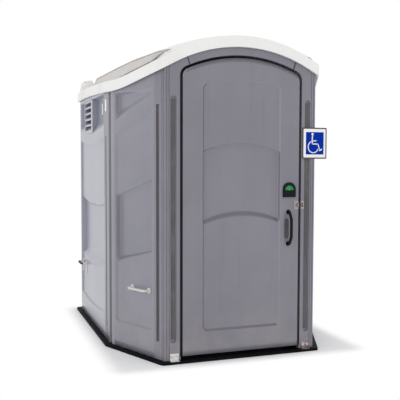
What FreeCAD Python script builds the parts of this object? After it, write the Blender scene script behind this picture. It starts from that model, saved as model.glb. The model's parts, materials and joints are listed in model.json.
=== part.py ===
"""Accessible portable toilet cabin, in millimetres, +Z up, front door towards -Y.

The origin is on the ground in the middle of the base. The cabin has a black base, formed wall
sheets held between upright posts, an arched door with a full-height hinge, a white roof with a
raised centre, and a holding tank with a seat inside.
"""
import FreeCAD, Part
import math
import operator
import os
from types import SimpleNamespace

import Sketcher
from FreeCAD import Placement, Rotation, Vector

os.makedirs("parts", exist_ok=True)
doc = FreeCAD.newDocument("toilet_cabin")

# Driving dimensions

SIZES = [
    ("flange_front_half", 608, "half width of the base flange at the front"),
    ("flange_side_half", 883, "half width of the base flange at the sides"),
    ("flange_end", 1010, "base flange from the origin to its front or rear edge"),
    ("flange_bend", 385, "where the slanted front corners meet the sides, before the origin"),
    ("flange_thick", 18, "thickness of the base flange"),
    ("floor_height", 36, "top of the floor slab"),
    ("wall_front_half", 580, "half width of the front wall"),
    ("wall_side_half", 843, "half width over the side walls"),
    ("wall_front", 975, "front wall face, before the origin"),
    ("wall_bend", 377, "corner between slanted and side wall, before the origin"),
    ("wall_rear", 970, "rear wall face, behind the origin"),
    ("sheet_thick", 6, "thickness of a formed sheet"),
    ("field_depth", 12, "depth of the shallow wall field"),
    ("band_depth", 40, "depth of the deep wall bands"),
    ("post_depth", 45, "thickness of the posts"),
    ("slant_leg", 110, "front post's leg along the slanted wall"),
    ("opening_half", 464.5, "half width of the door opening"),
    ("arch_radius", 1020, "radius of the door opening's arch"),
    ("arch_centre", 1147, "height of that arch's centre"),
    ("shoulder_radius", 70, "rounding between the arch and the jambs"),
    ("door_gap", 14.5, "gap between the door and its opening"),
    ("door_bottom", 44, "lower edge of the door"),
    ("door_thick", 38, "thickness of the door"),
    ("skin_thick", 5, "thickness of the door skins"),
    ("hinge_radius", 6, "outer radius of the hinge knuckles"),
    ("rod_radius", 3, "radius of the hinge rod"),
    ("crown_height", 2227, "lower edge of the roof rim at the front crown"),
    ("rim_height", 81, "height of the roof rim band"),
    ("roof_radius", 1080, "radius of the roof arch"),
    ("eaves_height", 1938, "lower edge of the roof rim at the side corners"),
    ("tank_height", 400, "height of the holding tank above the floor slab"),
    ("tank_wall", 7, "wall of the holding tank"),
    ("bar_radius", 16, "radius of the grab bars"),
    ("pipe_radius", 52, "outer radius of the vent pipe"),
]

sheet = doc.addObject("Spreadsheet::Sheet", "Sizes")
for row, (alias, value, note) in enumerate(SIZES, start=1):
    sheet.set(f"A{row}", alias)
    sheet.set(f"B{row}", str(value))
    sheet.set(f"C{row}", note)
    sheet.setAlias(f"B{row}", alias)
doc.recompute()


class Size:
    """A number kept together with the sheet expression that gives it."""

    def __init__(self, value, text):
        self.value = value
        self.text = text

    def __add__(self, other):
        return combined(self, operator.add, "+", other)

    def __radd__(self, other):
        return combined(other, operator.add, "+", self)

    def __sub__(self, other):
        return combined(self, operator.sub, "-", other)

    def __rsub__(self, other):
        return combined(other, operator.sub, "-", self)

    def __mul__(self, other):
        return combined(self, operator.mul, "*", other)

    def __rmul__(self, other):
        return combined(other, operator.mul, "*", self)

    def __truediv__(self, other):
        return combined(self, operator.truediv, "/", other)

    def __neg__(self):
        return Size(-self.value, f"(-1 * {self.text})")


def as_size(amount):
    """Turn a plain number into a Size and leave a Size as it is."""
    return amount if isinstance(amount, Size) else Size(float(amount), repr(round(float(amount), 4)))


def combined(left, rule, sign, right):
    left, right = as_size(left), as_size(right)
    return Size(rule(left.value, right.value), f"({left.text} {sign} {right.text})")


def root(amount):
    """Square root of a Size."""
    return Size(math.sqrt(amount.value), f"sqrt({amount.text})")


dim = SimpleNamespace(**{alias: Size(value, f"Sizes.{alias}") for alias, value, note in SIZES})
mm = SimpleNamespace(**{alias: value for alias, value, note in SIZES})


def bind(thing, prop, amount):
    """Set a property from a Size and bind it to the sheet, or from a plain number."""
    if "." not in prop:
        setattr(thing, prop, as_size(amount).value)
    if isinstance(amount, Size):
        thing.setExpression(prop, amount.text)


# Sketch and feature helpers

TURN_SIDEWAYS = 90


def new_body(name):
    """Start one sub-part as a body."""
    return doc.addObject("PartDesign::Body", name)


def sketch_on(body, plane, lift=0):
    """Add a sketch to one of the body's own origin planes, lifted along the plane's normal."""
    sketch = body.newObject("Sketcher::SketchObject", f"{body.Name}_sketch")
    support = next(item for item in body.Origin.OriginFeatures if item.Role == f"{plane}_Plane")
    sketch.AttachmentSupport = (support, [""])
    sketch.MapMode = "FlatFace"
    sketch.AttachmentOffset = Placement(Vector(0, 0, as_size(lift).value), Rotation())
    if isinstance(lift, Size):
        sketch.setExpression("AttachmentOffset.Base.z", lift.text)
    return sketch


def place_point(sketch, geometry, end, across, up):
    """Hold a sketch point at its distances from the sketch's origin."""
    for kind, amount in (("DistanceX", across), ("DistanceY", up)):
        index = sketch.addConstraint(Sketcher.Constraint(kind, -1, 1, geometry, end, as_size(amount).value))
        if isinstance(amount, Size):
            sketch.setExpression(f"Constraints[{index}]", amount.text)


def hold_half_circle(sketch, geometry, corner, run, rise):
    """Hold the centre of a half circle level with its ends, or in line with them."""
    level = abs(rise.value) < 1e-6
    amount = as_size(corner[1]) if level else as_size(corner[0])
    kind = "DistanceY" if level else "DistanceX"
    index = sketch.addConstraint(Sketcher.Constraint(kind, -1, 1, geometry, 3, amount.value))
    sketch.setExpression(f"Constraints[{index}]", amount.text)


def draw_outline(sketch, corners, closed=True):
    """Draw an outline through corners of (across, up) or (across, up, sag).

    An edge that leaves a corner with a sag is an arc that bows out to its left by the sag, or to
    its right when the sag is negative.
    """
    spots = [Vector(as_size(c[0]).value, as_size(c[1]).value, 0) for c in corners]
    ends = []
    for i in range(len(corners) if closed else len(corners) - 1):
        start, stop = spots[i], spots[(i + 1) % len(corners)]
        if len(corners[i]) < 3:
            geometry = sketch.addGeometry(Part.LineSegment(start, stop), False)
            ends.append((geometry, 1, 2))
            continue
        sag = as_size(corners[i][2])
        chord = stop - start
        left = Vector(-chord.y, chord.x, 0).normalize()
        geometry = sketch.addGeometry(Part.Arc(start, (start + stop) / 2 + left * sag.value, stop), False)
        forward = sketch.getPoint(geometry, 1).distanceToPoint(start) < 1e-6
        ends.append((geometry, 1, 2) if forward else (geometry, 2, 1))
        after = corners[(i + 1) % len(corners)]
        run, rise = as_size(after[0]) - corners[i][0], as_size(after[1]) - corners[i][1]
        bow = sag if sag.value > 0 else -sag
        if abs(2 * bow.value - chord.Length) < 1e-6:
            hold_half_circle(sketch, geometry, corners[i], run, rise)
            continue
        radius = (run * run + rise * rise) / (8 * bow) + bow / 2
        index = sketch.addConstraint(Sketcher.Constraint("Radius", geometry, radius.value))
        sketch.setExpression(f"Constraints[{index}]", radius.text)
    for i, (geometry, first, last) in enumerate(ends):
        place_point(sketch, geometry, first, corners[i][0], corners[i][1])
        if closed or i + 1 < len(ends):
            following = ends[(i + 1) % len(ends)]
            sketch.addConstraint(Sketcher.Constraint("Coincident", geometry, last, following[0], following[1]))
    if not closed:
        geometry, first, last = ends[-1]
        place_point(sketch, geometry, last, corners[-1][0], corners[-1][1])
    return sketch


def draw_circle(sketch, across, up, radius):
    """Draw a circle with its centre and radius held."""
    centre = Vector(as_size(across).value, as_size(up).value, 0)
    circle = Part.Circle(centre, Vector(0, 0, 1), as_size(radius).value)
    geometry = sketch.addGeometry(circle, False)
    place_point(sketch, geometry, 3, across, up)
    index = sketch.addConstraint(Sketcher.Constraint("Radius", geometry, as_size(radius).value))
    if isinstance(radius, Size):
        sketch.setExpression(f"Constraints[{index}]", radius.text)
    return sketch


def draw_box(sketch, left, low, right, high):
    """Draw a rectangle from its left, low, right and high edges."""
    return draw_outline(sketch, [(left, low), (right, low), (right, high), (left, high)])


def extrude(body, sketch, length, kind="Pad", backwards=False):
    """Pad or pocket a sketch by a length, along the sketch's normal or backwards."""
    feature = body.newObject(f"PartDesign::{kind}", f"{body.Name}_{kind.lower()}")
    feature.Profile = sketch
    bind(feature, "Length", length)
    feature.Reversed = backwards
    sketch.Visibility = False
    return feature


def loft(body, first, second, kind="AdditiveLoft"):
    """Join two sketches with straight-sided walls, adding or cutting."""
    feature = body.newObject(f"PartDesign::{kind}", f"{body.Name}_loft")
    feature.Profile = first
    feature.Sections = [second]
    feature.Ruled = True
    return feature


def revolve(body, sketch, axis="V_Axis", kind="Revolution"):
    """Turn a sketch once about one of its own axes."""
    feature = body.newObject(f"PartDesign::{kind}", f"{body.Name}_turned")
    feature.Profile = sketch
    feature.ReferenceAxis = (sketch, [axis])
    feature.Angle = 360
    return feature


def fillet_where(body, base, radius, wanted):
    """Round the edges of a feature whose middle point passes a test."""
    doc.recompute()
    names = []
    for number, edge in enumerate(base.Shape.Edges, start=1):
        middle = edge.valueAt((edge.FirstParameter + edge.LastParameter) / 2)
        if wanted(middle, edge):
            names.append(f"Edge{number}")
    feature = body.newObject("PartDesign::Fillet", f"{body.Name}_fillet")
    feature.Base = (base, names)
    feature.Radius = radius
    return feature


def cylinder(name, radius, length, start, direction):
    """A round rod from a start point along a direction."""
    rod = doc.addObject("Part::Cylinder", name)
    bind(rod, "Radius", radius)
    bind(rod, "Height", length)
    rod.Placement = Placement(Vector(*start), Rotation(Vector(0, 0, 1), Vector(*direction)))
    return rod


def block(name, low, high):
    """A box from its lowest to its highest corner, in plain numbers."""
    box = doc.addObject("Part::Box", name)
    box.Length, box.Width, box.Height = [high[i] - low[i] for i in range(3)]
    box.Placement = Placement(Vector(*low), Rotation())
    return box


def cut(name, base, tools):
    """The base without the tools."""
    tool = tools[0]
    if len(tools) > 1:
        tool = doc.addObject("Part::MultiFuse", f"{name}_tools")
        tool.Shapes = tools
    result = doc.addObject("Part::Cut", f"{name}_cut")
    result.Base = base
    result.Tool = tool
    return result


def fuse(name, pieces):
    """Several solids joined into one."""
    result = doc.addObject("Part::MultiFuse", f"{name}_joined")
    result.Shapes = pieces
    return result


def group(name, pieces):
    """Several separate solids kept together as one node."""
    result = doc.addObject("Part::Compound", f"{name}_group")
    result.Links = pieces
    return result


def mirrored(name, source):
    """The same piece on the other side of the cabin."""
    result = doc.addObject("Part::Mirroring", f"{name}_mirror")
    result.Source = source
    result.Normal = Vector(1, 0, 0)
    return result


def solid_feature(name, shape):
    """A sub-part whose shape comes straight from Part's own functions."""
    feature = doc.addObject("Part::Feature", name)
    feature.Shape = shape
    feature.Placement = Placement()
    return feature


nodes = {}


def node(label, thing):
    """Name a finished sub-part. Its label names its file."""
    thing.Label = label
    nodes[label] = thing
    return thing


# Wall frames: each wall is drawn flat, looking at its outside, and then turned into place

corner_point = Vector(-mm.wall_front_half, -mm.wall_front, 0)
bend_point = Vector(-mm.wall_side_half, -mm.wall_bend, 0)
rear_point = Vector(-mm.wall_side_half, mm.wall_rear, 0)
slant_run = dim.wall_side_half - dim.wall_front_half
slant_rise = dim.wall_front - dim.wall_bend
slant_length = root(slant_run * slant_run + slant_rise * slant_rise)
side_length = dim.wall_bend + dim.wall_rear
along_slant = (corner_point - bend_point).normalize()
into_slant = Vector(-along_slant.y, along_slant.x, 0)
slant_turn = math.degrees(math.atan2(along_slant.y, along_slant.x))
SLANT_FRAME = Placement(bend_point, Rotation(Vector(0, 0, 1), slant_turn))
SIDE_FRAME = Placement(rear_point, Rotation(Vector(0, 0, 1), -TURN_SIDEWAYS))
REAR_FRAME = Placement(Vector(mm.wall_side_half, mm.wall_rear, 0), Rotation(Vector(0, 0, 1), 180))


def slant_spot(along, inward):
    """Plan position on the left slanted wall, from the bend and inward from its face."""
    return bend_point + along_slant * along + into_slant * inward


def arc_bow(radius, first, second):
    """How far an arc of a radius between two points bows out from its chord."""
    run, rise = as_size(second[0]) - first[0], as_size(second[1]) - first[1]
    return radius - root(radius * radius - (run * run + rise * rise) / 4)


def rounded_slot(centre, half, low, high):
    """Corners of an upright slot with round ends."""
    return [(centre - half, low + half, -half), (centre + half, low + half),
            (centre + half, high - half, -half), (centre - half, high - half)]


# Base, floor and ground fixings

STAKE_X = 512
STAKE_Y = 993
STAKE_RADIUS = 6
SLAB_SETBACK = 110
SLAB_INSET = 70


def make_base():
    """Base pan: a flange round the walls, a raised floor slab and hollows between ribs below."""
    body = new_body("base")
    flange = sketch_on(body, "XY")
    front, side = dim.flange_front_half, dim.flange_side_half
    draw_outline(flange, [(-front, -dim.flange_end), (front, -dim.flange_end), (side, -dim.flange_bend),
                          (side, dim.flange_end), (-side, dim.flange_end), (-side, -dim.flange_bend)])
    extrude(body, flange, dim.flange_thick)
    slab = sketch_on(body, "XY")
    slab_front = dim.wall_front - SLAB_SETBACK
    slab_half = dim.wall_front_half - 30
    slab_side = dim.wall_side_half - SLAB_INSET
    draw_outline(slab, [(-slab_half, -slab_front), (slab_half, -slab_front), (slab_side, -dim.wall_bend + 10),
                        (slab_side, dim.wall_rear - SLAB_INSET), (-slab_side, dim.wall_rear - SLAB_INSET),
                        (-slab_side, -dim.wall_bend + 10)])
    extrude(body, slab, dim.floor_height)
    hollows = sketch_on(body, "XY")
    columns, rows, pitch_x, pitch_y, rib = 4, 5, 270, 330, 22
    for column in range(columns):
        for row in range(rows):
            left = (column - columns / 2) * pitch_x + rib / 2
            low = (row - rows / 2) * pitch_y + rib / 2
            draw_box(hollows, left, low, left + pitch_x - rib, low + pitch_y - rib)
    extrude(body, hollows, dim.floor_height - 12, "Pocket", backwards=True)
    stakes = sketch_on(body, "XY")
    for x in (-STAKE_X, STAKE_X):
        for y in (-STAKE_Y, STAKE_Y):
            draw_circle(stakes, x, y, STAKE_RADIUS)
    drilled = extrude(body, stakes, dim.floor_height, "Pocket", backwards=True)
    corner_edge = mm.flange_thick * 1.5
    fillet_where(body, drilled, 25, lambda spot, edge: 1 < spot.z < mm.flange_thick - 1
                 and edge.Length < corner_edge and edge.BoundBox.ZLength > 1
                 and edge.BoundBox.XLength < 1 and abs(abs(spot.x) - STAKE_X) > 20)
    node("base_pan", body)


def make_floor():
    """A slip-resistant mat in front of the tank, and the metal nosing at the door."""
    mat = new_body("mat")
    half, front, back, wide, bend, thick = 550, 825, 392, 765, 372, 4
    sketch = sketch_on(mat, "XY", dim.floor_height)
    draw_outline(sketch, [(-half, -front), (half, -front), (wide, -bend), (wide, back), (-wide, back),
                          (-wide, -bend)])
    extrude(mat, sketch, thick)
    node("floor_mat", mat)
    nosing = new_body("nosing")
    half_wide, reach, sheet_metal = 425, 36, 3
    profile = sketch_on(nosing, "YZ", -half_wide)
    edge = dim.wall_front - SLAB_SETBACK
    draw_outline(profile, [(-edge - sheet_metal, dim.flange_thick), (-edge, dim.flange_thick),
                           (-edge, dim.floor_height), (-edge + reach, dim.floor_height),
                           (-edge + reach, dim.floor_height + sheet_metal),
                           (-edge - sheet_metal, dim.floor_height + sheet_metal)])
    extrude(nosing, profile, 2 * half_wide)
    node("door_sill", nosing)


def make_anchors():
    """Four angle plates that hold the base to the ground, with two bolts each."""
    plates, bolts = [], []
    thick, wide, tall, reach = 4, 64, 50, mm.flange_end - 3
    low = mm.flange_thick
    for x in (-STAKE_X, STAKE_X):
        for side in (-1, 1):
            wall = -mm.wall_front if side < 0 else mm.wall_rear
            near, far = sorted((wall, wall + side * thick))
            upright = block("anchor_leg", (x - wide / 2, near, low), (x + wide / 2, far, low + tall))
            near, far = sorted((wall, side * reach))
            sole = block("anchor_foot", (x - wide / 2, near, low), (x + wide / 2, far, low + thick))
            hole = cylinder("anchor_hole", STAKE_RADIUS, 40, (x, side * STAKE_Y, low - 5), (0, 0, 1))
            plates.append(cut("anchor", fuse("anchor", [upright, sole]), [hole]))
            for offset in (-19, 19):
                spot = (x + offset, wall + side * thick, low + 30)
                bolts.append(cylinder("anchor_head", 8, 6, spot, (0, side, 0)))
    node("anchor_plates", group("anchor_plates", plates))
    node("anchor_bolts", group("anchor_bolts", bolts))


# Posts and header

SLOT_DEPTH = 16
SLOT_HALF = 17
SEAM_HALF = 400
SEAM_GAP = 4
SEAM_TOP = (418, 2140)
POST_TOP = 2075


def shoulder_height():
    """Height where the jamb's straight edge ends and the shoulder's rounding starts."""
    reach = dim.arch_radius - dim.shoulder_radius
    offset = dim.opening_half - dim.shoulder_radius
    return dim.arch_centre + root(reach * reach - offset * offset)


def shoulder_on_arch(inset=0):
    """Half width and height where the rounding meets the arch, inset from the opening's edge."""
    reach = dim.arch_radius - dim.shoulder_radius
    ratio = (dim.arch_radius - inset) / reach
    offset = dim.opening_half - dim.shoulder_radius
    return offset * ratio, dim.arch_centre + (shoulder_height() - dim.arch_centre) * ratio


def arch_spot(half, inset=0):
    """Half width and height of a point on the opening's arch."""
    radius = dim.arch_radius - inset
    return as_size(half), dim.arch_centre + root(radius * radius - as_size(half) * half)


def doorway_outline(inset, bottom):
    """Corners of the door opening's outline, or of a smaller one inside it."""
    half = dim.opening_half - inset
    rounding = dim.shoulder_radius - inset
    straight = shoulder_height()
    meet = shoulder_on_arch(inset)
    turn = arc_bow(rounding, (half, straight), meet)
    crown = arc_bow(dim.arch_radius - inset, meet, (-meet[0], meet[1]))
    return [(-half, bottom), (half, bottom), (half, straight, -turn), (meet[0], meet[1], -crown),
            (-meet[0], meet[1], -turn), (-half, straight)]


def make_front_post():
    """Jamb with the door's rounded shoulder, and a leg that turns along the slanted wall."""
    body = new_body("front_post")
    jamb = sketch_on(body, "XZ", dim.wall_front)
    straight, meet, seam = shoulder_height(), shoulder_on_arch(), arch_spot(SEAM_HALF)
    turn = arc_bow(dim.shoulder_radius, (dim.opening_half, straight), meet)
    rise = arc_bow(dim.arch_radius, meet, seam)
    draw_outline(jamb, [
        (-dim.wall_front_half, dim.flange_thick), (-dim.opening_half, dim.flange_thick),
        (-dim.opening_half, straight, turn), (-meet[0], meet[1], rise), (-seam[0], seam[1]),
        (-SEAM_TOP[0], SEAM_TOP[1]), (-430, 2178), (-dim.wall_front_half, 2095)])
    extrude(body, jamb, dim.post_depth, backwards=True)
    leg = sketch_on(body, "XY", dim.flange_thick)
    outer = slant_spot(slant_length.value - mm.slant_leg, 0)
    inner = slant_spot(slant_length.value - mm.slant_leg, mm.post_depth)
    bend = slant_spot(slant_length.value - 30, mm.post_depth)
    draw_outline(leg, [(-dim.wall_front_half, -dim.wall_front), (bend.x, -dim.wall_front + dim.post_depth),
                       (inner.x, inner.y), (outer.x, outer.y)])
    extrude(body, leg, POST_TOP - dim.flange_thick)
    slot = sketch_on(body, "XZ", dim.wall_front)
    draw_outline(slot, rounded_slot(-JAMB_SLOT_X, JAMB_SLOT_HALF, *JAMB_SLOT))
    extrude(body, slot, SLOT_DEPTH, "Pocket")
    slanted = block("leg_slot", (SLANT_SLOT_U - SLOT_HALF, -1, SLANT_SLOT[0]),
                    (SLANT_SLOT_U + SLOT_HALF, SLOT_DEPTH, SLANT_SLOT[1]))
    slanted.Placement = SLANT_FRAME.multiply(slanted.Placement)
    grooves = []
    for along in (slant_length.value - 14, slant_length.value - 32):
        groove = block("leg_groove", (along - 2.5, -1, 0), (along + 2.5, 5, 2200))
        groove.Placement = SLANT_FRAME.multiply(groove.Placement)
        grooves.append(groove)
    for x in (-567, -549):
        grooves.append(block("jamb_groove", (x - 2.5, -mm.wall_front - 1, 0), (x + 2.5, -mm.wall_front + 5, 2200)))
    left = cut("front_post", body, [slanted] + grooves)
    node("front_post_left", left)
    node("front_post_right", mirrored("front_post_right", left))


JAMB_SLOT_X = 518
JAMB_SLOT_HALF = 21
JAMB_SLOT = (145, 1870)
SLANT_SLOT_U = 573
SLANT_SLOT = (146, 1815)
SIDE_SLOT_U = 1212
SIDE_SLOT = (122, 1614)
LIGHT_DEPTH = 8
SIDE_LEG = 182
BEND_LEG = 58


def make_header():
    """Arched piece over the door, between the jambs."""
    body = new_body("header")
    arch = sketch_on(body, "XZ", dim.wall_front)
    seam = arch_spot(SEAM_HALF - SEAM_GAP)
    under = arc_bow(dim.arch_radius, (-seam[0], seam[1]), seam)
    upper, end = SEAM_TOP[0] - SEAM_GAP, 430 - SEAM_GAP
    draw_outline(arch, [(-seam[0], seam[1], under), (seam[0], seam[1]), (upper, SEAM_TOP[1]),
                        (end, 2178, -92), (-end, 2178), (-upper, SEAM_TOP[1])])
    extrude(body, arch, dim.post_depth, backwards=True)
    node("door_header", body)


def make_side_post():
    """Post at the bend between the slanted and the side wall, with a notch down its corner."""
    body = new_body("side_post")
    plan = sketch_on(body, "XY", dim.flange_thick)
    side, bend, deep = dim.wall_side_half, dim.wall_bend, dim.post_depth
    leg_y = -(bend - SIDE_LEG)
    notch, near = slant_spot(20, 24), slant_spot(20, 0)
    foot, inner = slant_spot(BEND_LEG, 0), slant_spot(BEND_LEG, mm.post_depth)
    elbow = slant_spot(9, mm.post_depth)
    draw_outline(plan, [(-side, leg_y), (-side, -bend + 27), (-side + 24, -bend + 27), (notch.x, notch.y),
                        (near.x, near.y), (foot.x, foot.y), (inner.x, inner.y), (elbow.x, elbow.y),
                        (-side + deep, leg_y)])
    extrude(body, plan, 2000 - dim.flange_thick)
    slot = block("side_slot", (SIDE_SLOT_U - SLOT_HALF, -1, SIDE_SLOT[0]),
                 (SIDE_SLOT_U + SLOT_HALF, SLOT_DEPTH, SIDE_SLOT[1]))
    light = block("side_light", (SIDE_SLOT_U - LIGHT_SLOT_HALF, -1, LIGHT_SLOT[0]),
                  (SIDE_SLOT_U + LIGHT_SLOT_HALF, LIGHT_DEPTH, LIGHT_SLOT[1]))
    for hollow in (slot, light):
        hollow.Placement = SIDE_FRAME.multiply(hollow.Placement)
    left = cut("side_post", body, [slot, light])
    node("side_post_left", left)
    node("side_post_right", mirrored("side_post_right", left))


REAR_LEG = 30
REAR_RETURN = 60


def make_rear_post():
    """Rounded post at the rear corner."""
    body = new_body("rear_post")
    plan = sketch_on(body, "XY", dim.flange_thick)
    side, rear, deep, rounding = dim.wall_side_half, dim.wall_rear, dim.post_depth, 25
    draw_outline(plan, [(-side, rear - REAR_LEG), (-side, rear - rounding, 0.2929 * rounding),
                        (-side + rounding, rear), (-side + REAR_RETURN, rear),
                        (-side + REAR_RETURN, rear - deep), (-side + deep, rear - deep),
                        (-side + deep, rear - REAR_LEG)])
    extrude(body, plan, 2005 - dim.flange_thick)
    node("rear_post_left", body)
    node("rear_post_right", mirrored("rear_post_right", body))


def make_slot_strips():
    """Dark strips at the bottom of the posts' slots and notches."""
    strips = []
    thick, margin = 3, 4

    def strip(frame, centre, low, high, depth, half):
        piece = block("strip", (centre - half, depth - thick, low + margin), (centre + half, depth, high - margin))
        piece.Placement = frame.multiply(piece.Placement)
        strips.append(piece)
        strips.append(mirrored("strip", piece))

    front = Placement(Vector(0, -mm.wall_front, 0), Rotation())
    strip(front, -JAMB_SLOT_X, JAMB_SLOT[0] + 16, JAMB_SLOT[1] - 16, SLOT_DEPTH, 14)
    strip(SLANT_FRAME, SLANT_SLOT_U, *SLANT_SLOT, SLOT_DEPTH, SLOT_HALF - 1)
    strip(SIDE_FRAME, SIDE_SLOT_U, *SIDE_SLOT, SLOT_DEPTH, SLOT_HALF - 1)
    node("slot_strips", group("slot_strips", strips))


# Formed wall sheets

EDGE_RADIUS = 3125
SHOULDER_EDGE = (1655, 600)
WAIST_TOP_EDGE = (1060, 589)
WAIST_LOW_EDGE = (485, 596, 2400)
FIELD_BOTTOM = 208
FIELD_FOOT_EDGE = (171, 524, 4789)
RIB_TALL = 95


def edge_height(edge, along):
    """Height of a band's curved edge, measured round the wall from the rear corner."""
    lowest, where = edge[:2]
    radius = edge[2] if len(edge) > 2 else EDGE_RADIUS
    return lowest + (along - where) ** 2 / (2 * radius)


def band_corners(left, right, low, high, origin, mirror_about=None):
    """Corners of a band between two edges. An edge is a curve, or the heights of its two ends."""
    def heights(edge):
        if isinstance(edge[0], str):
            return edge[1], edge[2], 0
        middle = (left + right) / 2
        ends = [edge_height(edge, origin + u) for u in (left, right)]
        return ends[0], ends[1], edge_height(edge, origin + middle) - sum(ends) / 2
    low_left, low_right, low_bow = heights(low)
    high_left, high_right, high_bow = heights(high)
    first = (left, low_left, low_bow) if low_bow else (left, low_left)
    third = (right, high_right, -high_bow) if high_bow else (right, high_right)
    return [first, (right, low_right), third, (left, high_left)]


def shifted(edge, rise):
    """An edge moved up by a rise."""
    if isinstance(edge[0], str):
        return (edge[0], edge[1] + rise, edge[2] + rise)
    return (edge[0] + rise, *edge[1:])


def press_band(body, left, right, low, high, depth, slopes, thick, origin=0, kind="AdditiveLoft", face=0):
    """Press a band into a sheet: its back swells first, and its front is cut later.

    slopes are how far its sides, lower edge and upper edge slant over its depth. The lower one may
    be the band's inner edge itself, where that runs another way than its mouth.
    """
    side, low_slope, high_slope = slopes
    inner_low = low_slope if isinstance(low_slope, tuple) else shifted(low, low_slope)
    grow = thick if kind == "AdditiveLoft" else 0
    near = sketch_on(body, "XZ", face)
    draw_outline(near, band_corners(left - grow, right + grow, shifted(low, -grow), shifted(high, grow), origin))
    bottom = sketch_on(body, "XZ", face - depth - grow)
    draw_outline(bottom, band_corners(left + side - grow, right - side + grow, shifted(inner_low, -grow),
                                      shifted(high, grow - high_slope), origin))
    loft(body, near, bottom, kind)


def make_wall(name, outline, bands, frame, origin):
    """A formed wall sheet: a flat plate with bands pressed into it."""
    body = new_body(name)
    plate = sketch_on(body, "XZ")
    draw_outline(plate, outline)
    extrude(body, plate, dim.sheet_thick, backwards=True)
    for kind in ("AdditiveLoft", "SubtractiveLoft"):
        for left, right, low, high, depth, slopes in bands:
            press_band(body, left, right, low, high, depth, slopes, mm.sheet_thick, origin, kind)
    body.Placement = frame
    return body


FIELD_SLOPES = (8, 14, 8)
TOP_DEPTH = 50


def wall_bands(left, right, foot, shoulder, top, top_depth, top_slopes, waist_low, waist_top, waist_slopes):
    """The shallow field, the deep shoulder band above its rib, and the waist band across it."""
    return [
        (left, right, foot, shifted(shoulder, -RIB_TALL), dim.field_depth, FIELD_SLOPES),
        (left, right, shoulder, top, top_depth, top_slopes),
        (left, right, waist_low, waist_top, dim.band_depth, waist_slopes),
    ]


def make_corner_panel():
    """Slanted wall sheet beside the door."""
    left, right = BEND_LEG, slant_length - dim.slant_leg
    outline = [(left, dim.flange_thick), (right, dim.flange_thick), (right, 2075), (left, 2005)]
    bands = wall_bands(76, 506, ("line", FIELD_BOTTOM, FIELD_BOTTOM), ("line", 1722, 1888), ("line", 1930, 1930),
                       36, (8, ("line", 1797, 1910), 8), ("line", 644, 768), ("line", 1180, 1314),
                       (10, ("line", 697, 790), 28))
    body = make_wall("corner_panel", outline, bands, SLANT_FRAME, side_length.value)
    node("corner_panel_left", body)
    node("corner_panel_right", mirrored("corner_panel_right", body))


HOOD = (260, 645)
HOOD_MOUTH = (284, 1690, 577, 1927)
SIDE_TOP = 1946
LIGHT_SLOT_U = 829
LIGHT_SLOT = (1805, 1897)
LIGHT_SLOT_HALF = 20


def make_side_panel():
    """Side wall sheet, with the vent behind its hood and an upright light slot."""
    left, right = REAR_LEG, side_length - SIDE_LEG
    outline = [(left, dim.flange_thick), (right, dim.flange_thick), (right, 2003), (left, 2003)]
    bands = wall_bands(52, 1135, FIELD_FOOT_EDGE, SHOULDER_EDGE, ("line", SIDE_TOP, SIDE_TOP), TOP_DEPTH,
                       (10, 100, 12), WAIST_LOW_EDGE, WAIST_TOP_EDGE, (10, ("line", 615, 622), 28))
    body = make_wall("side_panel", outline, bands, SIDE_FRAME, 0)
    vents = sketch_on(body, "XZ", 5)
    draw_box(vents, HOOD[0] + 40, 1780, HOOD[1] - 80, 1918)
    draw_box(vents, LIGHT_SLOT_U - LIGHT_SLOT_HALF, LIGHT_SLOT[0], LIGHT_SLOT_U + LIGHT_SLOT_HALF, LIGHT_SLOT[1])
    extrude(body, vents, 80, "Pocket")
    node("side_panel_left", body)
    node("side_panel_right", mirrored("side_panel_right", body))


def make_rear_panel():
    """Rear wall sheet with an arched top under the roof."""
    wide = 2 * dim.wall_side_half
    left, right = as_size(REAR_RETURN), wide - REAR_RETURN
    rise_u = 183
    outline = [(left, dim.flange_thick), (right, dim.flange_thick), (right, 2030),
               (wide - rise_u, 2045, -222), (rise_u, 2045), (left, 2030)]
    middle = mm.wall_side_half
    body = make_wall("rear_panel", outline, [
        (90, 1596, ("line", FIELD_BOTTOM, FIELD_BOTTOM), (1560, middle), dim.field_depth, FIELD_SLOPES),
        (90, 1596, (1655, middle), ("line", 1936, 1936), dim.band_depth, (10, 90, 14)),
        (90, 1596, (487, middle), (1064, middle), dim.band_depth, (10, 50, 28))], REAR_FRAME, 0)
    node("rear_panel", body)


def make_vent_hood():
    """Louvred block that fills part of the top band, flush with the wall and slanted below as the band is."""
    body = new_body("vent_hood")
    left, right = HOOD
    gap = 2
    near = sketch_on(body, "XZ")
    draw_outline(near, band_corners(left, right, shifted(SHOULDER_EDGE, gap), ("line", SIDE_TOP - gap, SIDE_TOP - gap), 0))
    back = sketch_on(body, "XZ", -TOP_DEPTH)
    high = SIDE_TOP - gap - 12
    draw_outline(back, band_corners(left, right, shifted(SHOULDER_EDGE, gap + 100), ("line", high, high), 0))
    loft(body, near, back, "AdditiveLoft")
    mouth_left, mouth_low, mouth_right, mouth_high = HOOD_MOUTH
    mouth = sketch_on(body, "XZ", 5)
    draw_box(mouth, mouth_left, mouth_low, mouth_right, mouth_high)
    extrude(body, mouth, TOP_DEPTH + 10, "Pocket")
    slats, pitch, tall = 4, 51, 18
    for number in range(slats):
        blade = sketch_on(body, "YZ", mouth_left - 10)
        base = mouth_low + 33 + number * pitch
        draw_outline(blade, [(2, base), (2, base + tall), (30, base + tall + 20), (30, base + 20)])
        extrude(body, blade, mouth_right - mouth_left + 20)
    body.Placement = SIDE_FRAME
    node("vent_hood_left", body)
    node("vent_hood_right", mirrored("vent_hood_right", body))


# Roof

ROOF_OVERHANG = 25
ROOF_SKIN = 6
RIM_WALL = 8
EAVES_END = 877
EAVES_SWELL = 36
ARCH_HALF = 505


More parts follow.
